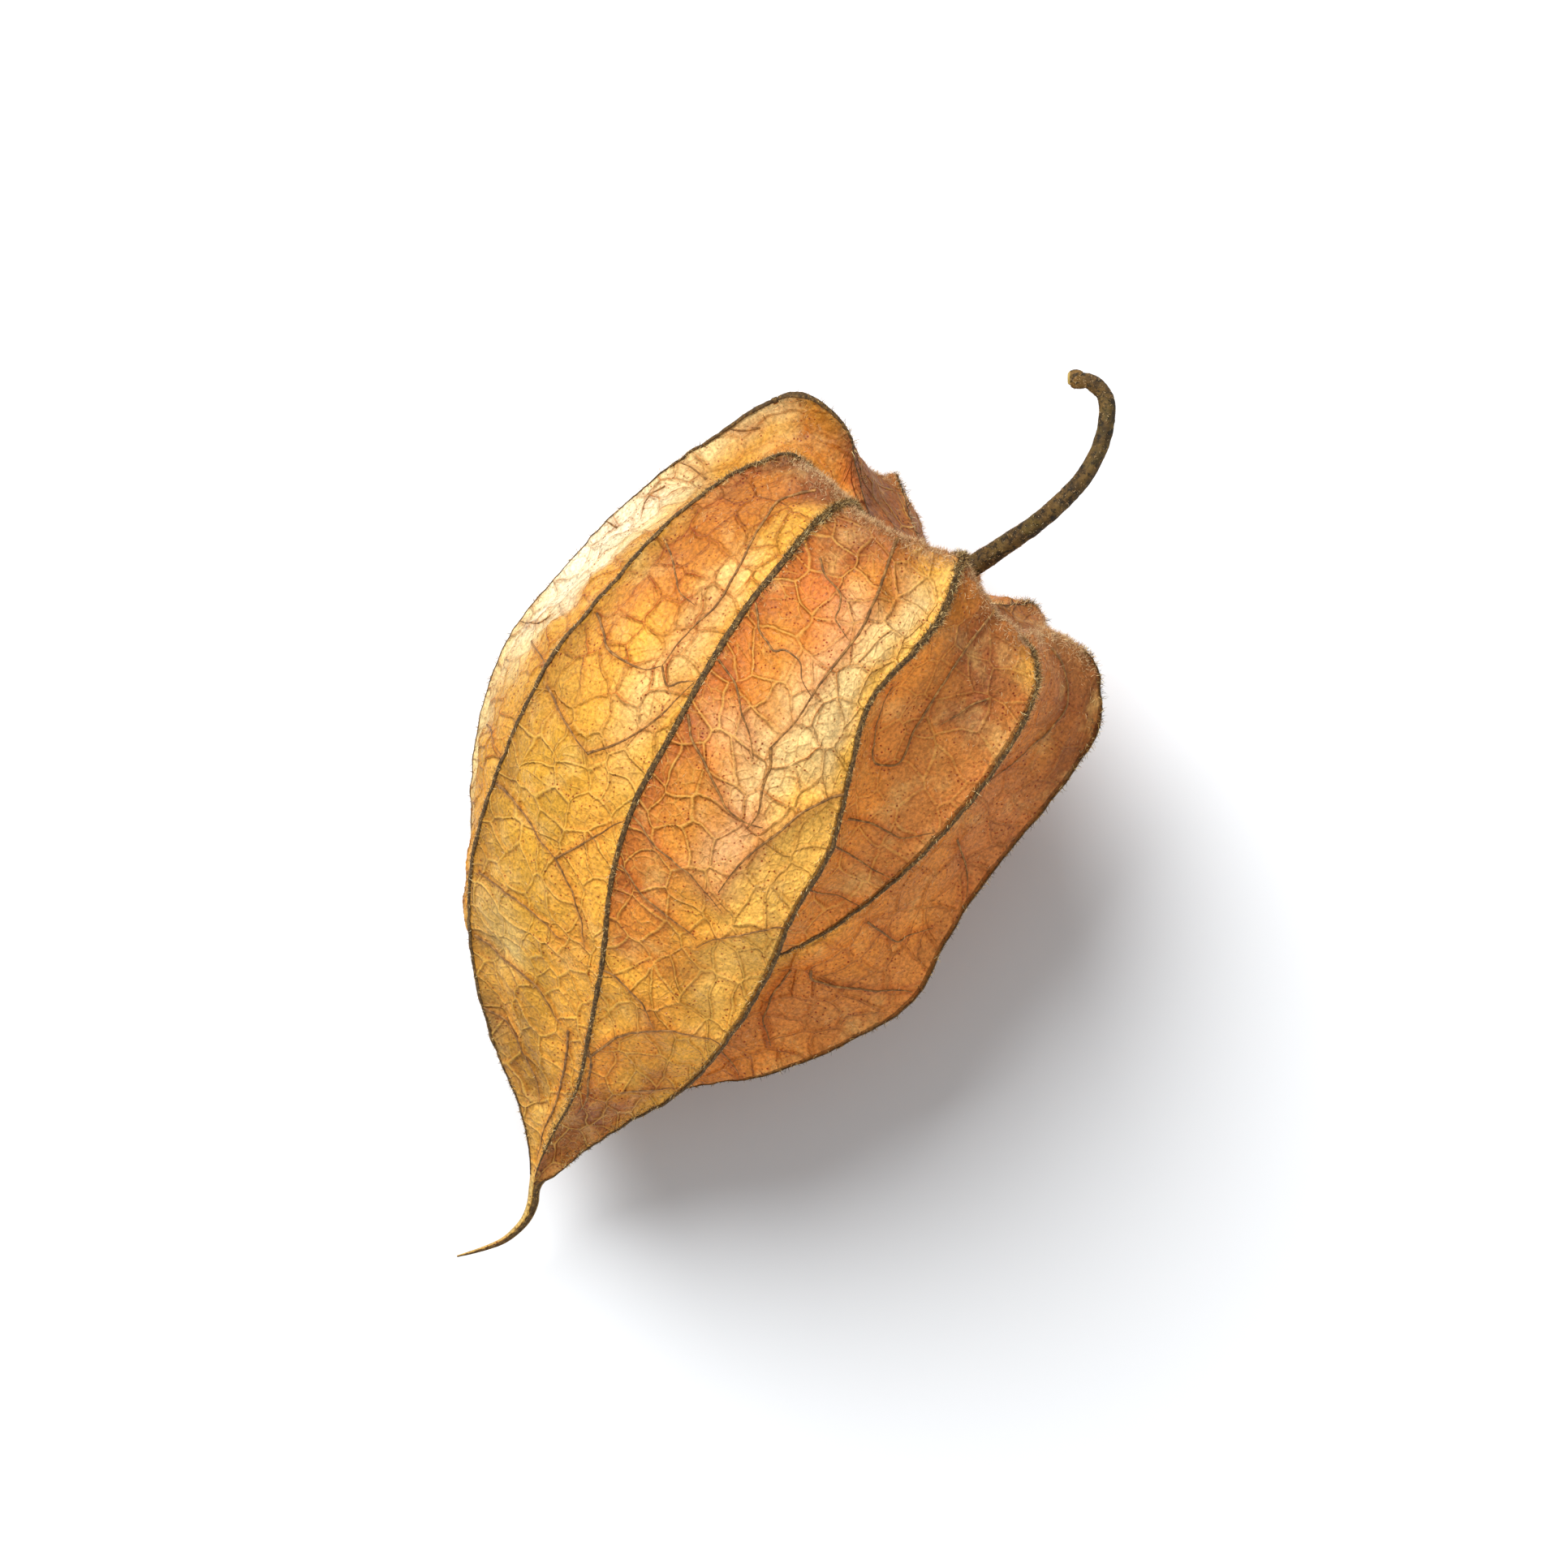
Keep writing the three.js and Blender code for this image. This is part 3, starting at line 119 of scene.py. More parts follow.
# ------------------------------------------------------------------ surface
def curve(P, v):
    """Points at v along rows of control points, with tangents weighted by the root of the spacing."""
    n = P.shape[-2]
    i = np.clip(np.floor(v).astype(int), 0, n - 2)
    f = (v - i)[:, None]
    g = lambda j: P[..., np.clip(j, 0, n - 1), :]
    size = lambda a: np.sqrt(np.linalg.norm(a, axis=-1, keepdims=True)) + 1e-9
    p0, p1, p2, p3 = g(i - 1), g(i), g(i + 1), g(i + 2)
    d1, d2, d3 = size(p1 - p0), size(p2 - p1), size(p3 - p2)
    m0, m1, m3 = (p1 - p0) / d1, (p2 - p1) / d2, (p3 - p2) / d3
    t1 = np.where((i == 0)[:, None], m1, (m0 * d2 + m1 * d1) / (d1 + d2)) * d2
    t2 = np.where((i == n - 2)[:, None], m1, (m1 * d3 + m3 * d2) / (d2 + d3)) * d2
    return (p1 * (2 * f**3 - 3 * f**2 + 1) + t1 * (f**3 - 2 * f**2 + f)
            + p2 * (-2 * f**3 + 3 * f**2) + t2 * (f**3 - f**2))


def sstep(a, b, x):
    t = np.clip((x - a) / (b - a), 0, 1)
    return t * t * (3 - 2 * t)


LN = np.array(LINES, float)


def skin(v):
    lines = curve(LN, v)
    s = (np.arange(NS) / NS)[:, None, None]
    out = []
    for k in range(RIBS):
        a, m, b = lines[2 * k], lines[2 * k + 1], lines[(2 * k + 2) % 20]
        out.append(a * (1 - s) * (1 - 2 * s) + m * 4 * s * (1 - s) + b * s * (2 * s - 1))
    return np.concatenate(out)          # NU x NV x 3


def spaced_v(step):
    """Rows about `step` mm apart along the husk."""
    fine = np.linspace(0, TAIL_END, 2401)
    p = curve(LN[::2], fine)
    d = np.linalg.norm(np.diff(p, axis=1), axis=-1)
    d = np.sort(d, axis=0)[-4:].mean(0)
    total = np.concatenate([[0], np.cumsum(d)])
    n = int(total[-1] / step)
    return np.interp(np.linspace(0, total[-1], n), total, fine)


VV = spaced_v(0.15)
NV = len(VV)
G = skin(VV)
# the far shoulder dips towards the hollow on both sides of the stem
ACROSS, ALONG = np.array([0.584, -0.812, 0]), np.array([0.812, 0.584, 0])
dip = sstep(0.9, 2.2, VV) * (1 - sstep(4.3, 5.8, VV))
for k, a_, b_ in ((7, [0, -1.15, -0.65, -0.15, 0], [-0.25, -0.80, -0.12, 0, 0]), (6, [0, 0, 0, -0.18, 0], [0, 0.03, -0.45, -0.95, -0.25])):
    q = np.linspace(0, 1, 5)
    t = np.arange(NS) / NS
    move = np.interp(t, q, a_)[:, None] * ACROSS + np.interp(t, q, b_)[:, None] * ALONG
    G[k * NS:(k + 1) * NS] += move[:, None] * dip[:, None]


def normals(G):
    du = np.roll(G, -1, 0) - np.roll(G, 1, 0)
    dv = np.gradient(G, axis=1)
    n = np.cross(dv, du)
    return n / (np.linalg.norm(n, axis=-1, keepdims=True) + 1e-12)


N = normals(G)
mid_j = int(np.searchsorted(VV, 8.0))
if N[int(2.5 * NS), mid_j, 2] < 0:
    N = -N
    FLIP = True
else:
    FLIP = False

K = np.repeat(np.arange(RIBS), NS)                    # panel of each column
SS = np.tile(np.arange(NS) / NS, RIBS)
rib_pts = G[::NS]                                     # 10 x NV x 3
width = np.linalg.norm(np.roll(rib_pts, -1, 0) - rib_pts, axis=-1)   # panel width at each row
wid = width[K]                                        # NU x NV
arc = np.concatenate([[0], np.cumsum(np.linalg.norm(np.diff(G[int(2.5 * NS)], axis=0), axis=-1))])
d_left = SS[:, None] * wid
d_right = (1 - SS[:, None]) * wid
d_rib = np.minimum(d_left, d_right)
Vg = np.broadcast_to(VV, (NU, NV))
body = sstep(2.6, 4.2, Vg) * (1 - sstep(15.4, 16.8, Vg))
allbody = sstep(0.8, 2.6, Vg) * (1 - sstep(15.4, 17.0, Vg))


def row_of(v):
    return np.interp(v, VV, np.arange(NV))


def sample(F, k, s, v):
    """Value of the grid F at panel k (0 to 9), place s across it and place v along it."""
    s, v = np.asarray(s, float), np.asarray(v, float)
    u = (k * NS + s * NS) % NU
    i0 = np.floor(u).astype(int) % NU
    fu = (u - np.floor(u))[..., None]
    r = row_of(v)
    j0 = np.clip(np.floor(r).astype(int), 0, NV - 2)
    fv = (r - j0)[..., None]
    i1 = (i0 + 1) % NU
    return ((F[i0, j0] * (1 - fu) + F[i1, j0] * fu) * (1 - fv)
            + (F[i0, j0 + 1] * (1 - fu) + F[i1, j0 + 1] * fu) * fv)


# ------------------------------------------------------------------ side veins
def smooth_line(pts, step=0.12):
    P = np.array(pts, float)
    if len(P) < 3:
        P = np.array([P[0], (P[0] + P[1]) / 2, P[1]])
    t = np.arange(len(P))
    Q = curve(P[None], np.linspace(0, len(P) - 1, 40 * (len(P) - 1) + 1))[0]
    return Q


veins = [(k - 1, w, smooth_line(p)) for k, w, p in VEINS]
# the panels that face away get side veins of the same kind: they leave a rib at a slant, bend and join
for k in (5, 6, 7, 8, 9):
    for side in (0, 1):
        v = 4.9 + rng.uniform(0, 0.8)
        while v < 14.2:
            run = rng.uniform(1.0, 1.6)
            reach = rng.uniform(0.42, 0.58)
            pts = []
            for q in np.linspace(0, 1, 6):
                s = reach * q**0.9
                pts.append((s if side == 0 else 1 - s, v + run * (0.75 * q + 0.35 * q * q) + rng.uniform(-0.03, 0.03)))
            veins.append((k, rng.uniform(0.7, 0.95), smooth_line(pts)))
            if rng.uniform() < 0.8:      # a cross vein to the middle
                e = pts[-1]
                far = 1 - reach * 0.2 if side == 0 else reach * 0.2
                veins.append((k, 0.6, smooth_line([e, (0.5, e[1] + 0.25), ((e[0] + far) / 2, e[1] + 0.15), (far, e[1] - 0.35)])))
            v += rng.uniform(1.1, 1.9)

vein_pts, vein_w = [], []
for k, w, L in veins:
    P = sample(G, k, L[:, 0], L[:, 1])
    vein_pts.append(P)
    vein_w.append(w)
tree = kdtree.KDTree(sum(len(p) for p in vein_pts))
n = 0
for p in vein_pts:
    for q in p:
        tree.insert(Vector(q), n)
        n += 1
tree.balance()
flatG = G.reshape(-1, 3)
d_vein = np.fromiter((tree.find(q)[2] for q in flatG.tolist()), float, len(flatG)).reshape(NU, NV)

# ------------------------------------------------------------------ relief of the papery skin
def noise_field(scale, seed, detail=False):
    off = Vector((seed * 17.3, seed * 5.1, seed * 9.7))
    f = noise.noise
    return np.fromiter((f(Vector(q) * scale + off) for q in flatG.tolist()), float, len(flatG)).reshape(NU, NV)


n_big = noise_field(0.16, 1)
n_mid = noise_field(0.42, 2)
n_small = noise_field(1.1, 3)
n_fine = noise_field(2.6, 4)

crest = np.array([0.8, 0.9, 1.0, 1.5, 1.1, 0.9, 0.8, 0.8, 0.8, 0.8])   # how far each rib stands out
cl, cr = crest[K][:, None], crest[(K + 1) % RIBS][:, None]
ridge = cl * np.exp(-(d_left / 0.42) ** 2) + cr * np.exp(-(d_right / 0.42) ** 2)
gutter = cl * np.exp(-(d_left / 1.3) ** 2) + cr * np.exp(-(d_right / 1.3) ** 2)
panel_mid = np.clip(d_rib / 1.2, 0, 1)
disp = (0.20 * ridge - 0.10 * gutter) * body
groove = 0.14 * np.exp(-(d_vein / 0.20) ** 2) - 0.20 * np.exp(-(d_vein / 0.85) ** 2) + 0.06
fold = 0.12 * np.exp(-(d_vein / 0.20) ** 2) + 0.22 * np.exp(-(d_vein / 0.62) ** 2) - 0.06
disp += np.where(K[:, None] == 2, fold, groove) * body * panel_mid
disp += (0.38 * n_big + 0.22 * n_mid) * allbody * panel_mid
disp += (0.09 * n_small + 0.03 * n_fine) * allbody
rim = np.exp(-((Vg - 3.9) / 0.55) ** 2) * (K[:, None] != 0)
disp += (0.20 * n_small + 0.11 * n_fine) * rim
G1 = G + N * disp[..., None]

# flat coordinates across each panel, in mm, a little warped so that the net of small veins looks grown
U = (SS[:, None] - 0.5) * wid + (K[:, None] * 23.7)
W_ = np.broadcast_to(arc, (NU, NV))
U = U + 0.5 * n_mid + 0.14 * n_small
W_ = W_ * 0.88 + 0.5 * noise_field(0.4, 5) + 0.14 * noise_field(1.0, 6)

# ------------------------------------------------------------------ tints
def srgb(r, g, b):
    f = lambda c: (c / 255) / 12.92 if c <= 10.3 else (((c / 255) + 0.055) / 1.055) ** 2.4
    return np.array([f(r), f(g), f(b)])


T = dict(
    I=srgb(250, 236, 196), C=srgb(236, 206, 142), S=srgb(248, 198, 118), A=srgb(228, 148, 54), G=srgb(236, 170, 63),
    Y=srgb(230, 172, 66), O=srgb(208, 128, 48), R=srgb(204, 114, 46), B=srgb(170, 104, 44), D=srgb(128, 78, 36),
    T=srgb(216, 156, 58), P=srgb(174, 114, 58), L=srgb(212, 156, 50), M=srgb(190, 118, 50), K=srgb(92, 70, 34),
    V=srgb(226, 136, 40), W=srgb(248, 190, 86), E=srgb(196, 146, 62), Z=srgb(212, 178, 104), X=srgb(150, 86, 42), N=srgb(208, 130, 60), F=srgb(196, 120, 60),
    Q=srgb(186, 112, 34), H=srgb(212, 136, 50), J=srgb(182, 129, 44), U=srgb(158, 118, 64), r=srgb(186, 104, 40), h=srgb(234, 174, 112),
    q=srgb(251, 212, 140), n=srgb(226, 140, 54),
)
# rows of tints at stations v, each across the panel from its first rib to its second
# painted light in these tints: the pale q, h, S and W tints are painted highlights and sheen. The cream I and C on
# panel 0 are a painted glow of light shining through the thin skin. The dark rows at the low end of panel 2 and the
# dark K side of the tail are painted shade. The brown rows round the hollow at the stem are partly the skin's browner
# colour and partly painted shade.
TINTS_WITH_PAINTED_LIGHT = {
    0: [(0, "BBBBB"), (1, "XXXXX"), (2.2, "XRVRX"), (3, "DQHQQ"), (3.6, "TQHHH"), (4.2, "CTHVV"), (4.8, "CTHVV"), (5.4, "CTTVV"), (6, "CCTAA"), (7, "IICTA"), (8, "IIITA"),
        (9, "CICTT"), (10, "CCTTT"), (11, "CLLTT"), (12, "ETTTE"), (14, "ELLTE"), (16, "ETLTE"), (17, "ZZZZZ"), (24, "ZZZZZ")],
    1: [(0, "BBBBB"), (3, "DBBDD"), (3.6, "DDDDD"), (4.3, "DDXXE"), (5, "XQMTG"), (6, "MQQTG"), (6.6, "JQHSG"), (7.2, "JMHSG"), (8, "JHGSG"), (9, "JTGSY"),
        (10, "JLLGY"), (11, "JLLGG"), (12, "JLLGG"), (12.6, "JZLGG"), (13.3, "JGJGG"), (14, "UJJGT"), (15, "EJLGE"), (16, "ETTTE"), (17, "ZZZZE"), (24, "ZZZZE")],
    2: [(0, "BBBBB"), (3, "DDBDD"), (3.7, "DDDXM"), (4.4, "XXBTW"), (5, "BXMqW"), (5.6, "rrHqW"), (6.2, "rRhqW"), (7, "rHhqW"), (8, "rOqqY"), (8.5, "rhqWW"),
        (9, "rNqWW"), (9.4, "rHhWW"), (10, "rHhWW"), (10.6, "rOGWW"), (11, "rOGWW"), (11.6, "rAHWG"), (12, "GGGGW"), (12.6, "GGAGG"), (13.1, "GATMT"), (13.7, "GATMT"),
        (14.3, "NXXXM"), (15.3, "BBBMB"), (16, "XDBMB"), (17, "EKKKK"), (24, "EKKKK")],
    3: [(0, "BBBBB"), (3, "DBBBP"), (4, "BBBMM"), (5, "QQXXW"), (5.5, "nMXXF"), (6, "nnMXM"), (6.6, "nnMXM"), (7, "nnNMN"), (8, "nnnNN"), (9, "nnnNN"), (10, "nnnnn"),
        (12, "nnnnn"), (14, "NNNNN"), (16, "DDDDD"), (17, "KKKKK"), (24, "KKKKK")],
    4: [(0, "BBBBB"), (3, "PPPPP"), (4, "NNPPD"), (5, "nNFXD"), (6, "nNNBX"), (7, "NFFFF"), (8, "NNnFF"), (9, "nnNnN"), (10, "GnnNN"),
        (11, "GnNNN"), (12, "AnNnn"), (14, "NNNNM"), (16, "DDDDD"), (17, "KEZZZ"), (24, "KEZZZ")],
    5: [(0, "XXXXX"), (3, "DBBBB"), (4, "BPPPB"), (6, "BMMMB"), (8, "MMPMM"), (10, "MAMAM"), (12, "MMMMM"), (14, "BTTTB"), (16, "LLLLL"), (24, "LLLLL")],
    6: [(0, "BBBBB"), (3, "BMMMB"), (4, "BMMMB"), (6, "MAAMB"), (8, "MAGAM"), (10, "AGGAM"), (12, "MAAAM"), (14, "TTTTT"), (16, "LLLLL"), (24, "LLLLL")],
    7: [(0, "XXXXX"), (3, "BBBBB"), (4, "BMMMB"), (6, "MAMAM"), (8, "AGSGA"), (10, "AGGGA"), (12, "MAAAM"), (14, "TTTTT"), (16, "LLLLL"), (24, "LLLLL")],
    8: [(0, "XXXXX"), (3, "BXBXB"), (4, "BMOMB"), (6, "OAMAO"), (8, "AGSGA"), (10, "AGTGA"), (12, "TAAAT"), (14, "TTTTT"), (16, "LLLLL"), (24, "LLLLL")],
    9: [(0, "XXXXX"), (3, "XBBBB"), (4, "BMMOB"), (6, "AOGGT"), (8, "AGTTC"), (10, "GTTLC"), (12, "TLLLL"), (14, "LLLLL"), (16, "LLLLL"), (24, "LLLLL")],
}


def tint_grid():
    out = np.zeros((NU, NV, 3))
    sw = SS[:NS] + 0
    for k in range(RIBS):
        rows = TINTS_WITH_PAINTED_LIGHT[k]
        tv = np.array([r[0] for r in rows], float)
        tab = np.array([[T[c] for c in r[1]] for r in rows])          # rows x 5 x 3
        warp_s = np.clip(SS[:NS, None] + 0.10 * n_mid[k * NS:(k + 1) * NS] + 0.05 * n_small[k * NS:(k + 1) * NS], 0, 1) * 4
        warp_v = np.clip(Vg[:NS] + 0.35 * n_mid[k * NS:(k + 1) * NS] * body[:NS], 0, 24)
        i = np.clip(np.floor(warp_s).astype(int), 0, 3)
        fs = sstep(0, 1, warp_s - i)[..., None]
        r = np.interp(warp_v, tv, np.arange(len(tv)))
        j = np.clip(np.floor(r).astype(int), 0, len(tv) - 2)
        fv = (r - j)[..., None]
        out[k * NS:(k + 1) * NS] = ((tab[j, i] * (1 - fs) + tab[j, i + 1] * fs) * (1 - fv)
                                    + (tab[j + 1, i] * (1 - fs) + tab[j + 1, i + 1] * fs) * fv)
    return out


tint_with_painted_light = tint_grid()
# how the net shows: 0 as bright ridges, 1 as dark lines seen through the thin skin
netdark = np.zeros((NU, NV))
netamt = np.ones((NU, NV))
low, S2 = Vg[:NS], np.broadcast_to(SS[:NS, None], (NS, NV))
pale_mid = np.exp(-((low - 8.0) / 2.4) ** 2) * np.exp(-((S2 - 0.62) / 0.27) ** 2)
for k, dark, amt in ((0, 1 - 0.9 * sstep(12.5, 14, low), 0.9 - 0.62 * (1 - sstep(4.6, 5.6, low)) * sstep(0.25, 0.4, S2)), (1, 1 - sstep(8.6, 10.2, low), 1.0), (2, 0.05 + 0.95 * pale_mid, 1.0),
                     (3, 0.12, 0.38 + 0.3 * sstep(7.5, 9.5, low)), (4, 0.75, 0.5 + 0.45 * sstep(6.6, 8.6, low)), (5, 0.7, 0.8), (6, 0.2, 0.9), (7, 0.1, 1.0), (8, 0.1, 1.0), (9, 0.9, 1.0)):
    netdark[k * NS:(k + 1) * NS] = dark
    netamt[k * NS:(k + 1) * NS] = amt
netdark = np.clip(netdark + 0.2 * n_mid, 0, 1)
netamt = np.clip(netamt * (1 + 0.5 * n_mid + 0.3 * n_small), 0.1, 1.2) * (1 - 0.6 * np.exp(-((Vg - 4.3) / 0.8) ** 2))
fuzz_zone = np.exp(-((Vg - 3.8) / 0.5) ** 2)
fuzz_zone[:NS] *= 0.12



# ------------------------------------------------------------------ materials
def new_mat(name):
    m = bpy.data.materials.new(name)
    m.use_nodes = True
    nt = m.node_tree
    nt.nodes.clear()
    return m, nt


def node(nt, kind, **kw):
    nd = nt.nodes.new(kind)
    for k, v in kw.items():
        setattr(nd, k, v)
    return nd


def link(nt, a, b):
    nt.links.new(a, b)


def math_node(nt, op, a, b=None, c=None, clamp=False):
    m = node(nt, "ShaderNodeMath", operation=op, use_clamp=clamp)
    for i, x in enumerate((a, b, c)):
        if x is None:
            continue
        if hasattr(x, "links"):
            link(nt, x, m.inputs[i])
        else:
            m.inputs[i].default_value = x
    return m.outputs[0]


def smooth(nt, x, lo, hi, a=0.0, b=1.0):
    m = node(nt, "ShaderNodeMapRange", interpolation_type="SMOOTHSTEP")
    link(nt, x, m.inputs["Value"])
    m.inputs["From Min"].default_value = lo
    m.inputs["From Max"].default_value = hi
    m.inputs["To Min"].default_value = a
    m.inputs["To Max"].default_value = b
    return m.outputs["Result"]


def mixc(nt, fac, a, b, mode="MIX"):
    m = node(nt, "ShaderNodeMix", data_type="RGBA", blend_type=mode)
    for idx, x in ((0, fac), (6, a), (7, b)):
        if hasattr(x, "links"):
            link(nt, x, m.inputs[idx])
        else:
            m.inputs[idx].default_value = (*x, 1.0) if isinstance(x, (tuple, list, np.ndarray)) and len(x) == 3 else x
    return m.outputs[2]


NET1, NET2 = 1 / 1.75, 1 / 0.66        # cells per mm of the net of small veins, and of the finer one


def net_nodes(nt, coord):
    """Distance in mm to the nearest small vein, and to the nearest fine one, from the flat coordinates in mm."""
    out = []
    for scale, rnd in ((NET1, 0.95), (NET2, 1.0)):
        v = node(nt, "ShaderNodeTexVoronoi", voronoi_dimensions="2D", feature="DISTANCE_TO_EDGE")
        link(nt, coord, v.inputs["Vector"])
        v.inputs["Scale"].default_value = scale
        v.inputs["Randomness"].default_value = rnd
        out.append(math_node(nt, "MULTIPLY", v.outputs["Distance"], 1 / scale))
    return out


def husk_material():
    m, nt = new_mat("papery_husk")
    out = node(nt, "ShaderNodeOutputMaterial")
    p = node(nt, "ShaderNodeBsdfPrincipled")
    at = lambda name: node(nt, "ShaderNodeAttribute", attribute_name=name)
    tint_a, flat_a, vd, nd, na, fz = at("tint_with_painted_light"), at("flat"), at("vein_mm"), at("net_dark"), at("net_amt"), at("fuzz")
    obj = node(nt, "ShaderNodeTexCoord").outputs["Object"]
    net1, net2 = net_nodes(nt, flat_a.outputs["Vector"])

    def noise_tex(scale, detail=3, rough=0.55):
        t = node(nt, "ShaderNodeTexNoise")
        link(nt, obj, t.inputs["Vector"])
        t.inputs["Scale"].default_value = scale
        t.inputs["Detail"].default_value = detail
        t.inputs["Roughness"].default_value = rough
        return t.outputs["Fac"]

    col = tint_a.outputs["Color"]
    # blotches, warm and pale
    col = mixc(nt, smooth(nt, noise_tex(260, 4), 0.45, 0.75, 0, 0.30), col, tuple(srgb(204, 120, 42)))
    col = mixc(nt, smooth(nt, noise_tex(420, 5, 0.6), 0.50, 0.72, 0, 0.34), col, tuple(srgb(250, 206, 124)))
    # cells of the net differ a little from each other
    cell = node(nt, "ShaderNodeTexVoronoi", voronoi_dimensions="2D", feature="F1")
    link(nt, flat_a.outputs["Vector"], cell.inputs["Vector"])
    cell.inputs["Scale"].default_value = NET1
    cell.inputs["Randomness"].default_value = 0.95
    sep = node(nt, "ShaderNodeSeparateColor")
    link(nt, cell.outputs["Color"], sep.inputs["Color"])
    hs = node(nt, "ShaderNodeHueSaturation")
    link(nt, smooth(nt, sep.outputs["Red"], 0, 1, 0.92, 1.08), hs.inputs["Value"])
    link(nt, col, hs.inputs["Color"])
    col = hs.outputs["Color"]
    # fine fibrous grain
    grain = noise_tex(5200, 2, 0.6)
    hs2 = node(nt, "ShaderNodeHueSaturation")
    link(nt, smooth(nt, grain, 0.3, 0.7, 0.74, 1.22), hs2.inputs["Value"])
    link(nt, col, hs2.inputs["Color"])
    col = hs2.outputs["Color"]
    # net lines
    n1 = smooth(nt, net1, 0.014, 0.070, 1, 0)
    n2 = smooth(nt, net2, 0.012, 0.055, 1, 0)
    brk = smooth(nt, noise_tex(900, 2), 0.38, 0.58)
    n2 = math_node(nt, "MULTIPLY", n2, brk)
    n1 = math_node(nt, "MULTIPLY", math_node(nt, "MULTIPLY", n1, smooth(nt, noise_tex(700, 2), 0.32, 0.6, 0.35, 1.0)), na.outputs["Fac"])
    n2 = math_node(nt, "MULTIPLY", n2, na.outputs["Fac"])
    dark = mixc(nt, 1.0, col, tuple(srgb(202, 148, 104)), "MULTIPLY")
    light = mixc(nt, 0.55, col, tuple(srgb(246, 196, 92)))
    line_col = mixc(nt, nd.outputs["Fac"], light, dark)
    col = mixc(nt, math_node(nt, "MULTIPLY", n1, 0.84), col, line_col)
    col = mixc(nt, math_node(nt, "MULTIPLY", n2, 0.42), col, line_col)
    # painted shade: a thin darker band beside each line of the net, where the raised net shades the cells
    painted_net_shade = math_node(nt, "MULTIPLY", smooth(nt, net1, 0.08, 0.26, 0.36, 0), smooth(nt, net1, 0.05, 0.09, 0, 1))
    col = mixc(nt, painted_net_shade, col, mixc(nt, 1.0, col, tuple(srgb(214, 172, 130)), "MULTIPLY"))
    # painted shade: beside the side veins the skin is made a little darker and redder, for the reddish shade along
    # them
    painted_vein_shade = smooth(nt, vd.outputs["Fac"], 0.05, 0.5, 0.4, 0)
    col = mixc(nt, painted_vein_shade, col, mixc(nt, 1.0, col, tuple(srgb(205, 150, 110)), "MULTIPLY"))
    # fine brown speckles, denser in patches
    sp = node(nt, "ShaderNodeTexVoronoi", feature="F1")
    link(nt, obj, sp.inputs["Vector"])
    sp.inputs["Scale"].default_value = 4200
    spk = smooth(nt, sp.outputs["Distance"], 0.16, 0.34, 1, 0)
    spc = node(nt, "ShaderNodeSeparateColor")
    link(nt, sp.outputs["Color"], spc.inputs["Color"])
    spk = math_node(nt, "MULTIPLY", spk, smooth(nt, spc.outputs["Blue"], 0.45, 0.62))
    spk = math_node(nt, "MULTIPLY", spk, smooth(nt, noise_tex(520, 2), 0.35, 0.62, 0.3, 0.95))
    col = mixc(nt, spk, col, mixc(nt, 1.0, col, tuple(srgb(168, 96, 62)), "MULTIPLY"))
    # a few black specks
    bs = node(nt, "ShaderNodeTexVoronoi", feature="F1")
    link(nt, obj, bs.inputs["Vector"])
    bs.inputs["Scale"].default_value = 430
    bsc = node(nt, "ShaderNodeSeparateColor")
    link(nt, bs.outputs["Color"], bsc.inputs["Color"])
    bk = math_node(nt, "MULTIPLY", smooth(nt, bs.outputs["Distance"], 0.020, 0.034, 1, 0), smooth(nt, bsc.outputs["Red"], 0.62, 0.66))
    col = mixc(nt, bk, col, tuple(srgb(40, 26, 16)))
    # fuzz on the shoulders
    fuzzn = smooth(nt, noise_tex(3800, 3, 0.7), 0.35, 0.7)
    col = mixc(nt, math_node(nt, "MULTIPLY", fz.outputs["Fac"], math_node(nt, "MULTIPLY", fuzzn, 0.5)), col, tuple(srgb(176, 130, 88)))
    link(nt, col, p.inputs["Base Color"])
    link(nt, smooth(nt, noise_tex(1500, 3), 0.3, 0.7, 0.46, 0.68), p.inputs["Roughness"])
    p.inputs["Specular IOR Level"].default_value = 0.24

    # relief: net, grain, fibres
    h = math_node(nt, "MULTIPLY", smooth(nt, net1, 0.0, 0.16, 0.75, 0), na.outputs["Fac"])
    h = math_node(nt, "ADD", h, math_node(nt, "MULTIPLY", smooth(nt, net2, 0.0, 0.10, 0.24, 0), na.outputs["Fac"]))
    h = math_node(nt, "ADD", h, math_node(nt, "MULTIPLY", grain, 0.42))
    h = math_node(nt, "ADD", h, math_node(nt, "MULTIPLY", noise_tex(1700, 4, 0.6), 0.75))
    b = node(nt, "ShaderNodeBump")
    b.inputs["Strength"].default_value = 0.9
    b.inputs["Distance"].default_value = 0.00015
    link(nt, h, b.inputs["Height"])
    link(nt, b.outputs["Normal"], p.inputs["Normal"])
    tr = node(nt, "ShaderNodeBsdfTranslucent")
    link(nt, mixc(nt, 1.0, col, tuple(srgb(255, 214, 150)), "MULTIPLY"), tr.inputs["Color"])
    link(nt, b.outputs["Normal"], tr.inputs["Normal"])
    mx = node(nt, "ShaderNodeMixShader")
    mx.inputs[0].default_value = 0.12
    link(nt, p.outputs[0], mx.inputs[1])
    link(nt, tr.outputs[0], mx.inputs[2])
    link(nt, mx.outputs[0], out.inputs["Surface"])
    return m


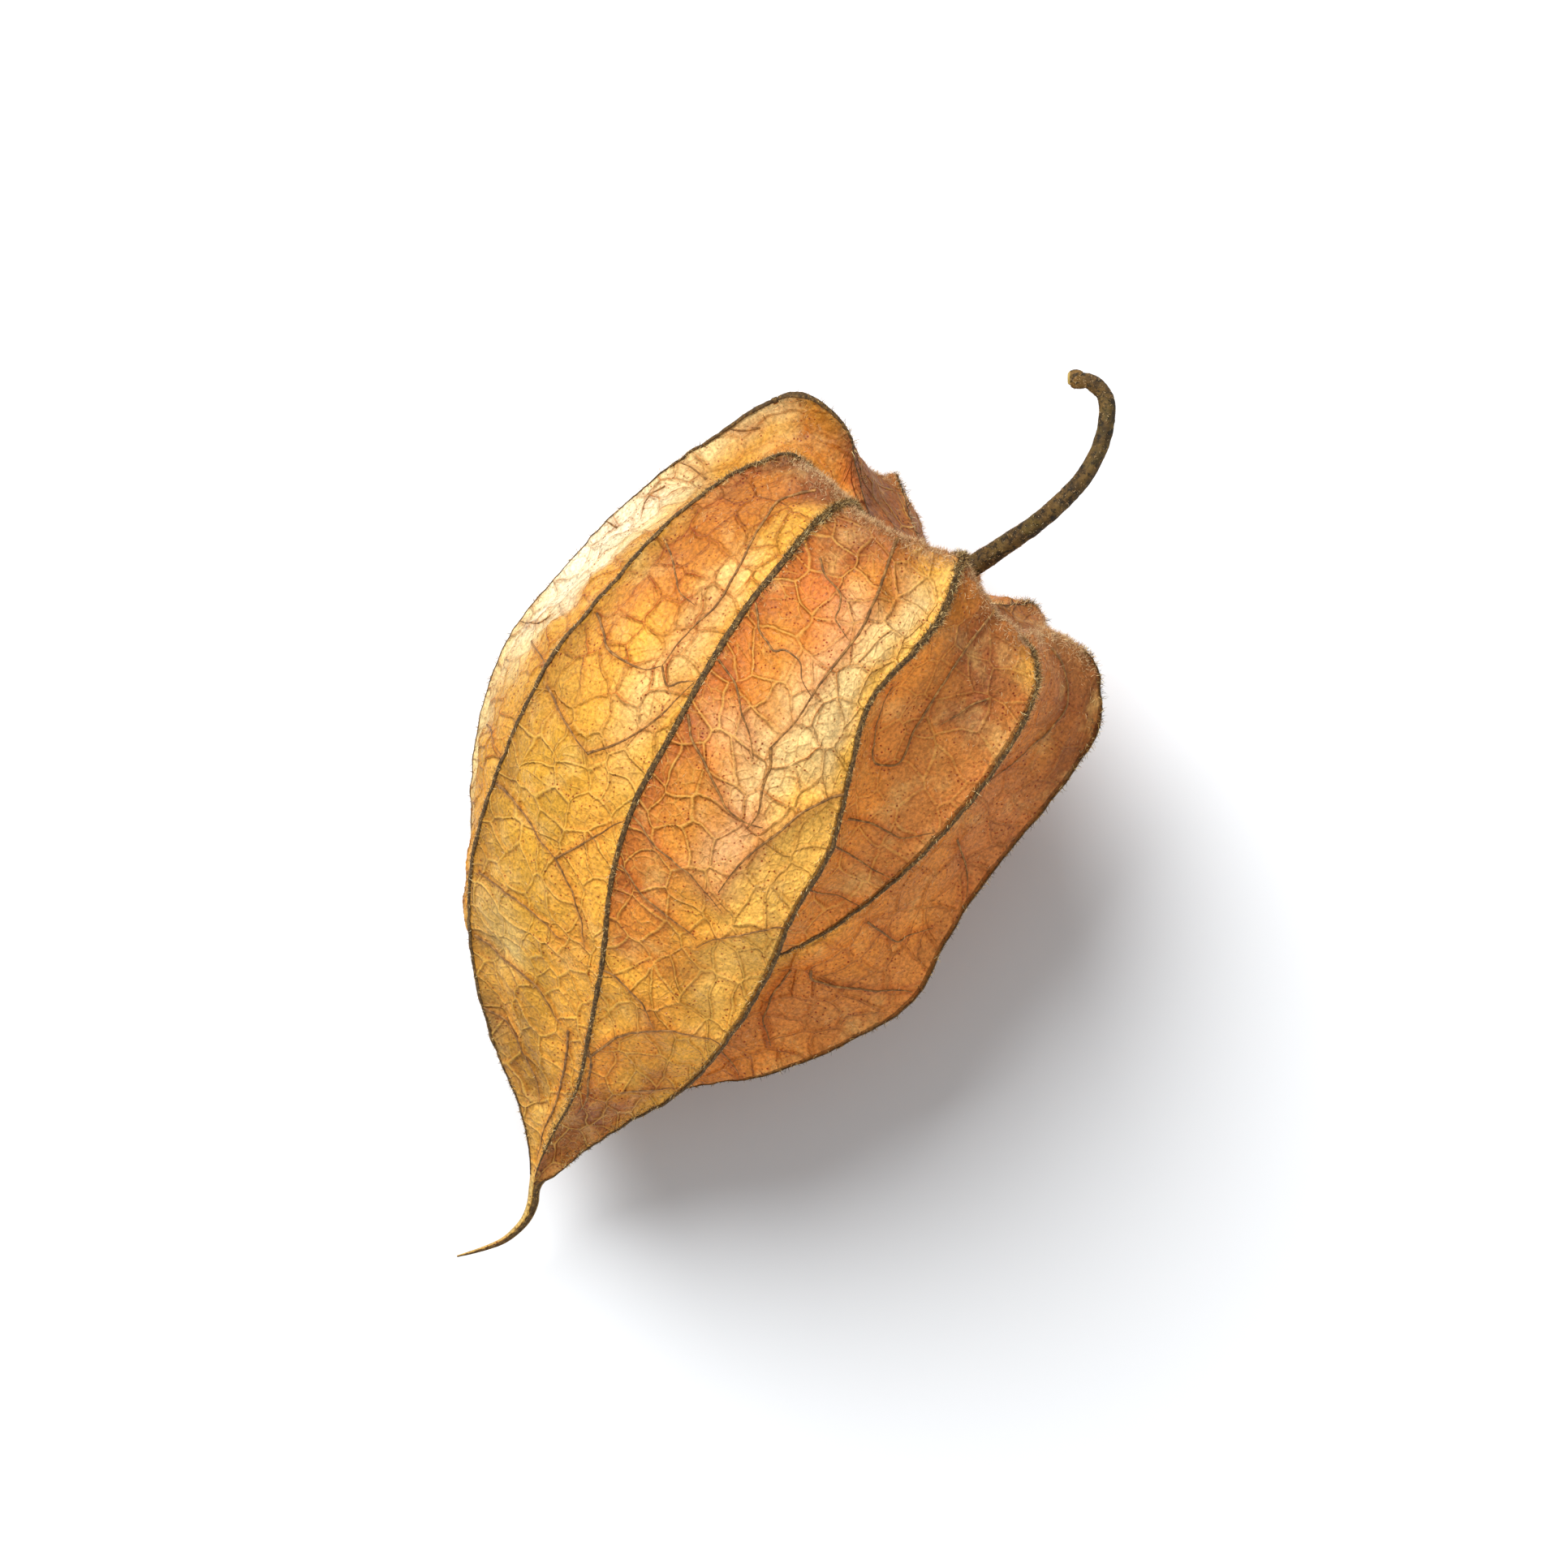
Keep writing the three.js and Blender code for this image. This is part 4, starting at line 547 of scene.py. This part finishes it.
def fibre_material(name, stops, scale, rough=0.7, stretch=None, attr=None, bump=0.00004):
    """A mottled fibrous material: a ramp of colours over noise, or over a per-hair value."""
    m, nt = new_mat(name)
    out = node(nt, "ShaderNodeOutputMaterial")
    p = node(nt, "ShaderNodeBsdfPrincipled")
    link(nt, p.outputs[0], out.inputs["Surface"])
    obj = node(nt, "ShaderNodeTexCoord").outputs["Object"]
    t = node(nt, "ShaderNodeTexNoise")
    link(nt, obj, t.inputs["Vector"])
    t.inputs["Scale"].default_value = scale
    t.inputs["Detail"].default_value = 4
    t.inputs["Roughness"].default_value = 0.65
    fac = t.outputs["Fac"]
    if attr:
        a = node(nt, "ShaderNodeAttribute", attribute_name=attr)
        fac = math_node(nt, "ADD", math_node(nt, "MULTIPLY", a.outputs["Fac"], 0.8), math_node(nt, "MULTIPLY", fac, 0.2))
    r = node(nt, "ShaderNodeValToRGB")
    e = r.color_ramp.elements
    while len(e) < len(stops):
        e.new(0.5)
    for el, (pos, c) in zip(e, stops):
        el.position = pos
        el.color = (*srgb(*c), 1)
    link(nt, fac, r.inputs["Fac"])
    link(nt, r.outputs["Color"], p.inputs["Base Color"])
    p.inputs["Roughness"].default_value = rough
    p.inputs["Specular IOR Level"].default_value = 0.3
    b = node(nt, "ShaderNodeBump")
    b.inputs["Strength"].default_value = 0.8
    b.inputs["Distance"].default_value = bump
    link(nt, t.outputs["Fac"], b.inputs["Height"])
    link(nt, b.outputs["Normal"], p.inputs["Normal"])
    return m


# ------------------------------------------------------------------ mesh helpers
def mesh_object(name, verts, faces, mat, smooth_shade=True, flip=False):
    me = bpy.data.meshes.new(name)
    verts = np.asarray(verts, np.float64) * MM
    faces = np.asarray(faces, np.int64)
    if flip:
        faces = faces[:, ::-1]
    me.vertices.add(len(verts))
    me.vertices.foreach_set("co", verts.astype(np.float32).ravel())
    nf, k = faces.shape
    me.loops.add(nf * k)
    me.loops.foreach_set("vertex_index", faces.astype(np.int32).ravel())
    me.polygons.add(nf)
    me.polygons.foreach_set("loop_start", np.arange(0, nf * k, k, dtype=np.int32))
    me.polygons.foreach_set("loop_total", np.full(nf, k, np.int32))
    me.update(calc_edges=True)
    me.validate()
    me.polygons.foreach_set("use_smooth", np.full(nf, smooth_shade))
    me.materials.append(mat)
    ob = bpy.data.objects.new(name, me)
    bpy.context.scene.collection.objects.link(ob)
    return ob


def float_attr(me, name, vals, kind="FLOAT"):
    a = me.attributes.new(name, kind, "POINT")
    key = {"FLOAT": "value", "FLOAT_VECTOR": "vector", "FLOAT_COLOR": "color"}[kind]
    a.data.foreach_set(key, np.asarray(vals, np.float32).ravel())


def frames(P, N):
    """Tangent, sideways and outward directions along a line of points with surface normals."""
    t = np.gradient(P, axis=0)
    t /= np.linalg.norm(t, axis=1, keepdims=True) + 1e-12
    n = N - (N * t).sum(1, keepdims=True) * t
    n /= np.linalg.norm(n, axis=1, keepdims=True) + 1e-12
    return t, np.cross(t, n), n


def cord(P, N, half_w, height, sides=8, sink=0.35):
    """Verts and quads of a closed cord that lies on the surface. half_w and height run along the line, in mm."""
    t, b, n = frames(P, N)
    a = np.arange(sides) * 2 * np.pi / sides
    ring = P[:, None] + b[:, None] * (np.cos(a)[None, :, None] * half_w[:, None, None]) \
        + n[:, None] * ((np.sin(a)[None, :, None] + (0.5 - sink)) * height[:, None, None])
    m = len(P)
    V = ring.reshape(-1, 3)
    F = []
    i = np.arange(m - 1)[:, None] * sides
    j = np.arange(sides)[None]
    j2 = (j + 1) % sides
    q = np.stack([i + j, i + j2, i + sides + j2, i + sides + j], -1).reshape(-1, 4)
    c0, c1 = len(V), len(V) + 1
    V = np.vstack([V, P[:1], P[-1:]])
    return V, q, (c0, c1, m, sides)


def join_cords(items, name, mat):
    """One object from several cords, with their ends closed by quads onto a middle point."""
    VV_, QQ, base = [], [], 0
    for V, q, (c0, c1, m, sides) in items:
        VV_.append(V)
        QQ.append(q + base)
        k = np.arange(0, sides, 2)
        e0 = np.stack([np.full(len(k), c0), (k + 2) % sides, (k + 1) % sides, k], -1)
        e1 = np.stack([np.full(len(k), c1), k + (m - 1) * sides, (k + 1) % sides + (m - 1) * sides, (k + 2) % sides + (m - 1) * sides], -1)
        QQ += [e0 + base, e1 + base]
        base += len(V)
    return mesh_object(name, np.vstack(VV_), np.vstack(QQ), mat)


# ------------------------------------------------------------------ the husk
jj = np.arange(NV - 1)[None]
ii = np.arange(NU)[:, None]
i2 = (ii + 1) % NU
quads = np.stack([ii * NV + jj, ii * NV + jj + 1, i2 * NV + jj + 1, i2 * NV + jj], -1).reshape(-1, 4)
husk_mat = husk_material()
husk = mesh_object("husk_skin", G1.reshape(-1, 3), quads, husk_mat, flip=FLIP)
float_attr(husk.data, "flat", np.stack([U, W_, np.zeros_like(U)], -1).reshape(-1, 3), "FLOAT_VECTOR")
float_attr(husk.data, "vein_mm", d_vein.ravel())
float_attr(husk.data, "net_dark", netdark.ravel())
float_attr(husk.data, "net_amt", netamt.ravel())
float_attr(husk.data, "fuzz", fuzz_zone.ravel())
float_attr(husk.data, "tint_with_painted_light", np.concatenate([tint_with_painted_light, np.ones((NU, NV, 1))], -1).reshape(-1, 4), "FLOAT_COLOR")
float_attr(husk.data, "relief", (body * np.clip(d_vein / 0.35, 0.2, 1) * np.clip(d_rib / 0.5, 0, 1) * (0.2 + 0.8 * netamt)).ravel())

# the net of small veins stands up from the skin
gt = bpy.data.node_groups.new("net_relief", "GeometryNodeTree")
gt.interface.new_socket("Geometry", in_out="INPUT", socket_type="NodeSocketGeometry")
gt.interface.new_socket("Geometry", in_out="OUTPUT", socket_type="NodeSocketGeometry")
gi, go = gt.nodes.new("NodeGroupInput"), gt.nodes.new("NodeGroupOutput")
sp_ = gt.nodes.new("GeometryNodeSetPosition")


def named(name, kind):
    a = gt.nodes.new("GeometryNodeInputNamedAttribute")
    a.data_type = kind
    a.inputs["Name"].default_value = name
    return a.outputs["Attribute"]


g1, g2 = net_nodes(gt, named("flat", "FLOAT_VECTOR"))
hgt = math_node(gt, "ADD", smooth(gt, g1, 0.0, 0.20, 0.11, 0.0), smooth(gt, g2, 0.0, 0.14, 0.026, 0.0))
hgt = math_node(gt, "ADD", hgt, smooth(gt, g1, 0.1, 0.75, -0.035, 0.06))
hgt = math_node(gt, "MULTIPLY", hgt, named("relief", "FLOAT"))
nrm = gt.nodes.new("GeometryNodeInputNormal")
vm = gt.nodes.new("ShaderNodeVectorMath")
vm.operation = "SCALE"
gt.links.new(nrm.outputs[0], vm.inputs[0])
gt.links.new(math_node(gt, "MULTIPLY", hgt, MM), vm.inputs["Scale"])
gt.links.new(vm.outputs[0], sp_.inputs["Offset"])
gt.links.new(gi.outputs[0], sp_.inputs["Geometry"])
gt.links.new(sp_.outputs[0], go.inputs[0])
mod = husk.modifiers.new("net", "NODES")
mod.node_group = gt
bpy.context.view_layer.objects.active = husk
husk.select_set(True)
bpy.ops.object.modifier_apply(modifier=mod.name)
husk.select_set(False)
co = np.empty(len(husk.data.vertices) * 3, np.float32)
husk.data.vertices.foreach_get("co", co)
G2 = co.reshape(NU, NV, 3).astype(float) / MM
G2[..., 2] = np.maximum(G2[..., 2], 0.0)             # it rests on its belly
husk.data.vertices.foreach_set("co", (G2 * MM).astype(np.float32).ravel())
husk.data.update()
NN = normals(G2)
if FLIP:
    NN = -NN

# ------------------------------------------------------------------ ribs and side veins
rib_mat = fibre_material("rib_cord", [(0.30, (48, 35, 18)), (0.50, (82, 60, 31)), (0.62, (116, 88, 46)), (0.76, (182, 146, 82))], 5200, 0.8)
cords = []
for k in range(RIBS):
    v = np.arange(0.5, 16.6, 0.012)
    if k in (3, 4, 5):
        v = np.arange(0.5, 23.6, 0.012)
    P = sample(G2, k, 0 * v, v)
    L = np.concatenate([[0], np.cumsum(np.linalg.norm(np.diff(P, axis=0), axis=1))])
    q = np.arange(0, L[-1], 0.12)
    v = np.interp(q, L, v)
    P = sample(G2, k, 0 * v, v)
    Nn = sample(NN, k, 0 * v, v)
    wob = 1 + 0.22 * np.array([noise.noise(Vector(p) * 2.1) for p in P]) + 0.12 * np.array([noise.noise(Vector(p) * 7.0) for p in P])
    base = np.interp(v, [0, 2, 4, 6, 10, 13, 15, 16.5, 18, 24], [0.04, 0.05, 0.145, 0.15, 0.13, 0.112, 0.09, 0.052, 0.048, 0.015])
    if k > 5:
        base = base * np.interp(v, [3.0, 6.0], [0.45, 0.9])
    base = base * (1.0, 1.2, 1.22, 1.25, 0.95, 0.45, 0.8, 0.8, 0.8, 0.8)[k]
    if k == 0:
        base = base * np.interp(v, [3.0, 4.0, 5.0, 6.4], [1.0, 1.35, 1.1, 0.4])
    if k == 2:
        base = base * np.interp(v, [13.2, 14.2], [1.0, 0.55])
    cords.append(cord(P, Nn, base * wob, base * 0.55 * wob, sides=8))
ribs = join_cords(cords, "main_ribs", rib_mat)

vein_mat = fibre_material("side_vein", [(0.3, (84, 56, 24)), (0.5, (126, 86, 40)), (0.7, (186, 134, 68))], 2600, 0.6)
cords = []
for k, w, L in veins:
    P = sample(G2, k, L[:, 0], L[:, 1])
    D = np.concatenate([[0], np.cumsum(np.linalg.norm(np.diff(P, axis=0), axis=1))])
    if D[-1] < 0.4:
        continue
    q = np.linspace(0, D[-1], max(6, int(D[-1] / 0.12)))
    s, v = np.interp(q, D, L[:, 0]), np.interp(q, D, L[:, 1])
    P, Nn = sample(G2, k, s, v), sample(NN, k, s, v)
    wob = 1 + 0.25 * np.array([noise.noise(Vector(p) * 3.1) for p in P])
    base = 0.085 * w * np.interp(q / D[-1], [0, 0.1, 0.6, 1], [1.15, 1.0, 0.8, 0.35])
    cords.append(cord(P, Nn, base * wob, base * 0.8 * wob, sides=6, sink=0.45))
side = join_cords(cords, "side_veins", vein_mat)

# ------------------------------------------------------------------ hairs
def hairs(name, P, Nn, length, lean, mat, thick=0.011, tone=None):
    """Short tapering hairs from points P with normals Nn: a bent three-sided spike each."""
    n = len(P)
    r = rng.normal(size=(n, 3))
    side = r - (r * Nn).sum(1, keepdims=True) * Nn
    side /= np.linalg.norm(side, axis=1, keepdims=True)
    d0 = Nn * np.cos(lean)[:, None] + side * np.sin(lean)[:, None]
    bend = rng.normal(size=(n, 3)) * 0.35
    d1 = d0 + bend
    d1 /= np.linalg.norm(d1, axis=1, keepdims=True)
    m = P + d0 * length[:, None] * 0.5
    e = m + d1 * length[:, None] * 0.5
    m[:, 2] = np.maximum(m[:, 2], 0.01)
    e[:, 2] = np.maximum(e[:, 2], 0.01)
    x = np.cross(d0, Nn + 0.3)
    x /= np.linalg.norm(x, axis=1, keepdims=True) + 1e-9
    y = np.cross(d0, x)
    V = np.zeros((n, 7, 3))
    th = thick * rng.uniform(0.7, 1.3, n)[:, None]
    for i in range(3):
        a = i * 2 * np.pi / 3
        o = x * np.cos(a) + y * np.sin(a)
        V[:, i] = P - d0 * 0.03 + o * th
        V[:, 3 + i] = m + o * th * 0.75
    V[:, 6] = e
    tri = []
    for i in range(3):
        j = (i + 1) % 3
        tri += [(i, j, 3 + j), (i, 3 + j, 3 + i), (3 + i, 3 + j, 6)]
    tri.append((0, 2, 1))
    F = (np.arange(n)[:, None, None] * 7 + np.array(tri)[None]).reshape(-1, 3)
    ob = mesh_object(name, V.reshape(-1, 3), F, mat, smooth_shade=False)
    tone = rng.uniform(size=n) if tone is None else tone
    float_attr(ob.data, "tone", np.repeat(tone, 7))
    return ob


dark_hair = fibre_material("rib_hair", [(0.2, (40, 28, 14)), (0.5, (96, 70, 34)), (0.72, (190, 148, 80)), (0.88, (246, 222, 160))], 800, 0.6, attr="tone")
pale_hair = fibre_material("pale_hair", [(0.1, (148, 104, 66)), (0.5, (194, 148, 102)), (0.9, (244, 218, 164))], 800, 0.6, attr="tone")

# along the ribs
pts, nns, lens = [], [], []
for k in range(RIBS):
    count = (400, 1500, 2600, 3000, 1900, 700, 400, 400, 400, 400)[k]
    v = rng.uniform(1.6, 15.6, count)
    v = np.concatenate([v, rng.uniform(3.0, 6.0, count // 3)])
    wmm = np.interp(v, VV, width[k])
    off = rng.normal(0, 0.13, len(v))
    P = sample(G2, k, off / wmm, v)
    Nn = sample(NN, k, off / wmm, v)
    P = P + Nn * 0.05
    pts.append(P); nns.append(Nn)
    lens.append(rng.uniform(0.18, 0.48, len(v)) * np.interp(v, [1, 3, 6, 10, 16], [0.9, 1.2, 0.9, 0.7, 0.5]))
P, Nn = np.vstack(pts), np.vstack(nns)
Nn /= np.linalg.norm(Nn, axis=1, keepdims=True)
rib_hairs = hairs("rib_hairs", P, Nn, np.concatenate(lens), rng.uniform(0.4, 1.35, len(P)), dark_hair, 0.013)

# fuzz on the shoulders, the lip and round the foot of the stem
count = 10000
k = rng.choice(RIBS, count, p=[0.015, 0.13, 0.17, 0.15, 0.145, 0.08, 0.08, 0.08, 0.08, 0.07])
v = np.clip(rng.normal(3.85, 0.34, count), 2.4, 5.4)
s = rng.uniform(0, 1, count)
P = np.array([sample(G2, int(a), b, c) for a, b, c in zip(k, s, v)])
Nn = np.array([sample(NN, int(a), b, c) for a, b, c in zip(k, s, v)])
Nn /= np.linalg.norm(Nn, axis=1, keepdims=True)
rim_fuzz = hairs("shoulder_fuzz", P, Nn, rng.uniform(0.15, 0.42, count), rng.uniform(0.2, 1.3, count), pale_hair, 0.012, tone=rng.uniform(0.05, 0.95, count))

# sparse short hairs over the panels
count = 5000
k = rng.choice(RIBS, count, p=[0.08, 0.16, 0.2, 0.14, 0.12, 0.06, 0.06, 0.06, 0.06, 0.06])
v = rng.uniform(4.6, 15.2, count)
s = rng.uniform(0.02, 0.98, count)
P = np.array([sample(G2, int(a), b, c) for a, b, c in zip(k, s, v)])
Nn = np.array([sample(NN, int(a), b, c) for a, b, c in zip(k, s, v)])
Nn /= np.linalg.norm(Nn, axis=1, keepdims=True)
panel_hairs = hairs("panel_hairs", P, Nn, rng.uniform(0.12, 0.30, count), rng.uniform(0.9, 1.45, count), pale_hair, 0.007,
                    tone=rng.uniform(0.5, 1.0, count))

# ------------------------------------------------------------------ the stem
SP = np.array(STEM, float)
SP[-4:, :] = [[29.29, -3.87, 18.85, 0.43], [29.41, -3.11, 18.75, 0.46], [29.32, -2.63, 18.70, 0.40], [29.18, -2.49, 18.67, 0.44]]
SP = np.vstack([SP, [29.10, -2.245, 18.62, 0.53], [28.99, -1.98, 18.60, 0.47], [28.89, -1.84, 18.58, 0.33]])
tt = np.linspace(0, len(SP) - 1, 280)
C = curve(SP[None, :, :3], tt)[0]
R = np.interp(tt, np.arange(len(SP)), SP[:, 3])
# it grows out of the hollow: carry the foot back to the ring, and flare it
ring_c = G2[:, 0].mean(0)
foot = np.linspace(0, 1, 14)[:-1, None]
C = np.vstack([ring_c - np.array([0.25, 0, 0]) + (C[0] - ring_c + np.array([0.25, 0, 0])) * foot, C])
R = np.concatenate([np.linspace(1.15, SP[0, 3], 14)[:-1], R])
t = np.gradient(C, axis=0)
t /= np.linalg.norm(t, axis=1, keepdims=True)
up = np.array([0, 0, 1.0])
ns_, bs_ = [], []
for q in t:
    up = up - up.dot(q) * q
    up /= np.linalg.norm(up)
    ns_.append(up.copy())
    bs_.append(np.cross(q, up))
ns_, bs_ = np.array(ns_), np.array(bs_)
SIDES = 40
a = np.arange(SIDES) * 2 * np.pi / SIDES
V = np.zeros((len(C), SIDES, 3))
for j, ang in enumerate(a):
    V[:, j] = C + ns_ * (np.cos(ang) * R)[:, None] + bs_ * (np.sin(ang) * R)[:, None]
for i in range(len(C)):
    for j in range(SIDES):
        p = Vector(V[i, j])
        d = 0.035 * noise.noise(p * 1.6) + 0.022 * noise.noise(p * 5.0) + 0.02 * math.sin(5 * a[j] + 0.6 * noise.noise(p * 0.5)) 
        V[i, j] += (ns_[i] * math.cos(a[j]) + bs_[i] * math.sin(a[j])) * d
# the cut end is a shallow, slightly hollow disc
cap = []
for f, dep in ((0.86, 0.05), (0.6, 0.0), (0.3, -0.04)):
    cap.append(C[-1] + t[-1] * dep + (V[-1] - C[-1]) * f)
V = np.concatenate([V, np.array(cap)])
m = len(V)
i = np.arange(m - 1)[:, None] * SIDES
j = np.arange(SIDES)[None]
q = np.stack([i + j, i + (j + 1) % SIDES, i + SIDES + (j + 1) % SIDES, i + SIDES + j], -1).reshape(-1, 4)
kk = np.arange(0, SIDES, 2)
nV = m * SIDES
e1 = np.stack([np.full(len(kk), nV + 1), kk + (m - 1) * SIDES, kk + 1 + (m - 1) * SIDES, (kk + 2) % SIDES + (m - 1) * SIDES], -1)
e0 = np.stack([np.full(len(kk), nV), (kk + 2) % SIDES, kk + 1, kk], -1)
verts = np.vstack([V.reshape(-1, 3), C[:1], C[-1:] - t[-1:] * 0.06])
stem_mat, nt = new_mat("stem_bark")
out = node(nt, "ShaderNodeOutputMaterial")
p = node(nt, "ShaderNodeBsdfPrincipled")
link(nt, p.outputs[0], out.inputs["Surface"])
obj = node(nt, "ShaderNodeTexCoord").outputs["Object"]
at = node(nt, "ShaderNodeAttribute", attribute_name="along")


def stem_noise(scale, detail=4):
    tx = node(nt, "ShaderNodeTexNoise")
    link(nt, obj, tx.inputs["Vector"])
    tx.inputs["Scale"].default_value = scale
    tx.inputs["Detail"].default_value = detail
    tx.inputs["Roughness"].default_value = 0.62
    return tx.outputs["Fac"]


base = mixc(nt, smooth(nt, stem_noise(1300), 0.36, 0.66), tuple(srgb(58, 43, 22)), tuple(srgb(102, 77, 38)))
base = mixc(nt, smooth(nt, stem_noise(700), 0.48, 0.75, 0, 0.5), base, tuple(srgb(92, 80, 34)))
base = mixc(nt, smooth(nt, at.outputs["Fac"], 0.62, 0.95, 0, 0.6), base, tuple(srgb(136, 98, 42)))
base = mixc(nt, smooth(nt, stem_noise(3300), 0.50, 0.62, 0, 0.85), base, tuple(srgb(30, 25, 15)))
# painted highlight: the bulb at the cut end and the cut face are made pale yellow-olive all round
base = mixc(nt, smooth(nt, at.outputs["Fac"], 0.935, 0.962, 0, 0.85), base, tuple(srgb(184, 156, 84)))
link(nt, base, p.inputs["Base Color"])
p.inputs["Roughness"].default_value = 0.66
p.inputs["Specular IOR Level"].default_value = 0.2
bb = node(nt, "ShaderNodeBump")
bb.inputs["Strength"].default_value = 0.7
bb.inputs["Distance"].default_value = 0.00006
link(nt, math_node(nt, "ADD", stem_noise(2600), stem_noise(6000, 2)), bb.inputs["Height"])
link(nt, bb.outputs["Normal"], p.inputs["Normal"])
stem = mesh_object("stem_skin", verts, np.vstack([q, e0, e1]), stem_mat)
along = np.concatenate([np.repeat(np.concatenate([np.linspace(0, 0.975, len(C)), [0.985, 1, 1]]), SIDES), [0, 1]])
float_attr(stem.data, "along", along)

# hairs on the stem: short, close to it
count = 1800
i = np.clip((rng.beta(0.8, 1.6, count) * (len(C) - 8)).astype(int) + 6, 0, len(C) - 1)
j = rng.integers(0, SIDES, count)
P = V[i, j]
Nn = P - C[i]
Nn /= np.linalg.norm(Nn, axis=1, keepdims=True)
stem_hair = hairs("stem_hairs", P, Nn, rng.uniform(0.08, 0.2, count) * np.interp(i / len(C), [0, 0.15, 0.3], [2.2, 1.2, 0.8]),
                  rng.uniform(0.6, 1.4, count), pale_hair, 0.007)

# ------------------------------------------------------------------ ride and replace
for o in (husk, ribs, side, rib_hairs, rim_fuzz, panel_hairs):
    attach(o, "root")
for o in (stem, stem_hair):
    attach(o, "root")
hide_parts("husk")
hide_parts("stem")

# ------------------------------------------------------------------ stage, light, camera
me = bpy.data.meshes.new("floor")
s = 3.0
me.from_pydata([(-s, -s, -0.00003), (s, -s, -0.00003), (s, s, -0.00003), (-s, s, -0.00003)], [], [(0, 1, 2, 3)])
floor = bpy.data.objects.new("floor", me)
bpy.context.scene.collection.objects.link(floor)
fm, nt = new_mat("floor_white")
out = node(nt, "ShaderNodeOutputMaterial")
p = node(nt, "ShaderNodeBsdfPrincipled")
p.inputs["Base Color"].default_value = (0.866, 0.887, 0.909, 1)
p.inputs["Roughness"].default_value = 0.9
p.inputs["Specular IOR Level"].default_value = 0.1
link(nt, p.outputs[0], out.inputs["Surface"])
me.materials.append(fm)

world = bpy.data.worlds.new("studio")
world.use_nodes = True
world.node_tree.nodes["Background"].inputs["Color"].default_value = (1.0, 1.0, 1.0, 1)
world.node_tree.nodes["Background"].inputs["Strength"].default_value = 0.44
bpy.context.scene.world = world

on_floor = bpy.data.collections.new("lit_floor")
on_floor.objects.link(floor)
on_part = bpy.data.collections.new("lit_part")
for o in [husk, ribs, side, rib_hairs, rim_fuzz, panel_hairs, stem, stem_hair]:
    on_part.objects.link(o)
target = Vector((0.0, 0.0, 0.012))


def softbox(name, direction, away, size, watts, only):
    """A round soft light, `away` metres from the part."""
    d = Vector(direction).normalized()
    ld = bpy.data.lights.new(name, "AREA")
    ld.shape = "DISK"
    ld.size = size
    ld.energy = watts
    ob = bpy.data.objects.new(name, ld)
    ob.location = target + d * away
    ob.rotation_mode = "QUATERNION"
    ob.rotation_quaternion = d.to_track_quat("Z", "Y")
    bpy.context.scene.collection.objects.link(ob)
    ob.light_linking.receiver_collection = only
    return ob


softbox("key_on_floor", (0.410, 0.915, 0.85), 1.2, 1.08, 25.6, on_floor)
softbox("key_on_part", (0.357, 0.934, 0.95), 0.5, 0.15, 2.35, on_part)
softbox("top_on_part", (-0.05, -0.15, 1.0), 0.5, 0.40, 1.25, on_part)

cam = bpy.data.cameras.new("camera")
cam.lens = 36.0 * 420 / (1932 * 0.0444)
cam.sensor_width = 36.0
cam.clip_start, cam.clip_end = 0.01, 10
co_ = bpy.data.objects.new("camera", cam)
co_.location = (0.002135, -0.002130, (13.25 + 420) * MM)
co_.rotation_euler = (0, 0, math.atan2(-0.812, 0.584))
bpy.context.scene.collection.objects.link(co_)
bpy.context.scene.camera = co_
bpy.context.scene.view_settings.view_transform = "Standard"

print("verts", len(husk.data.vertices), "NV", NV)
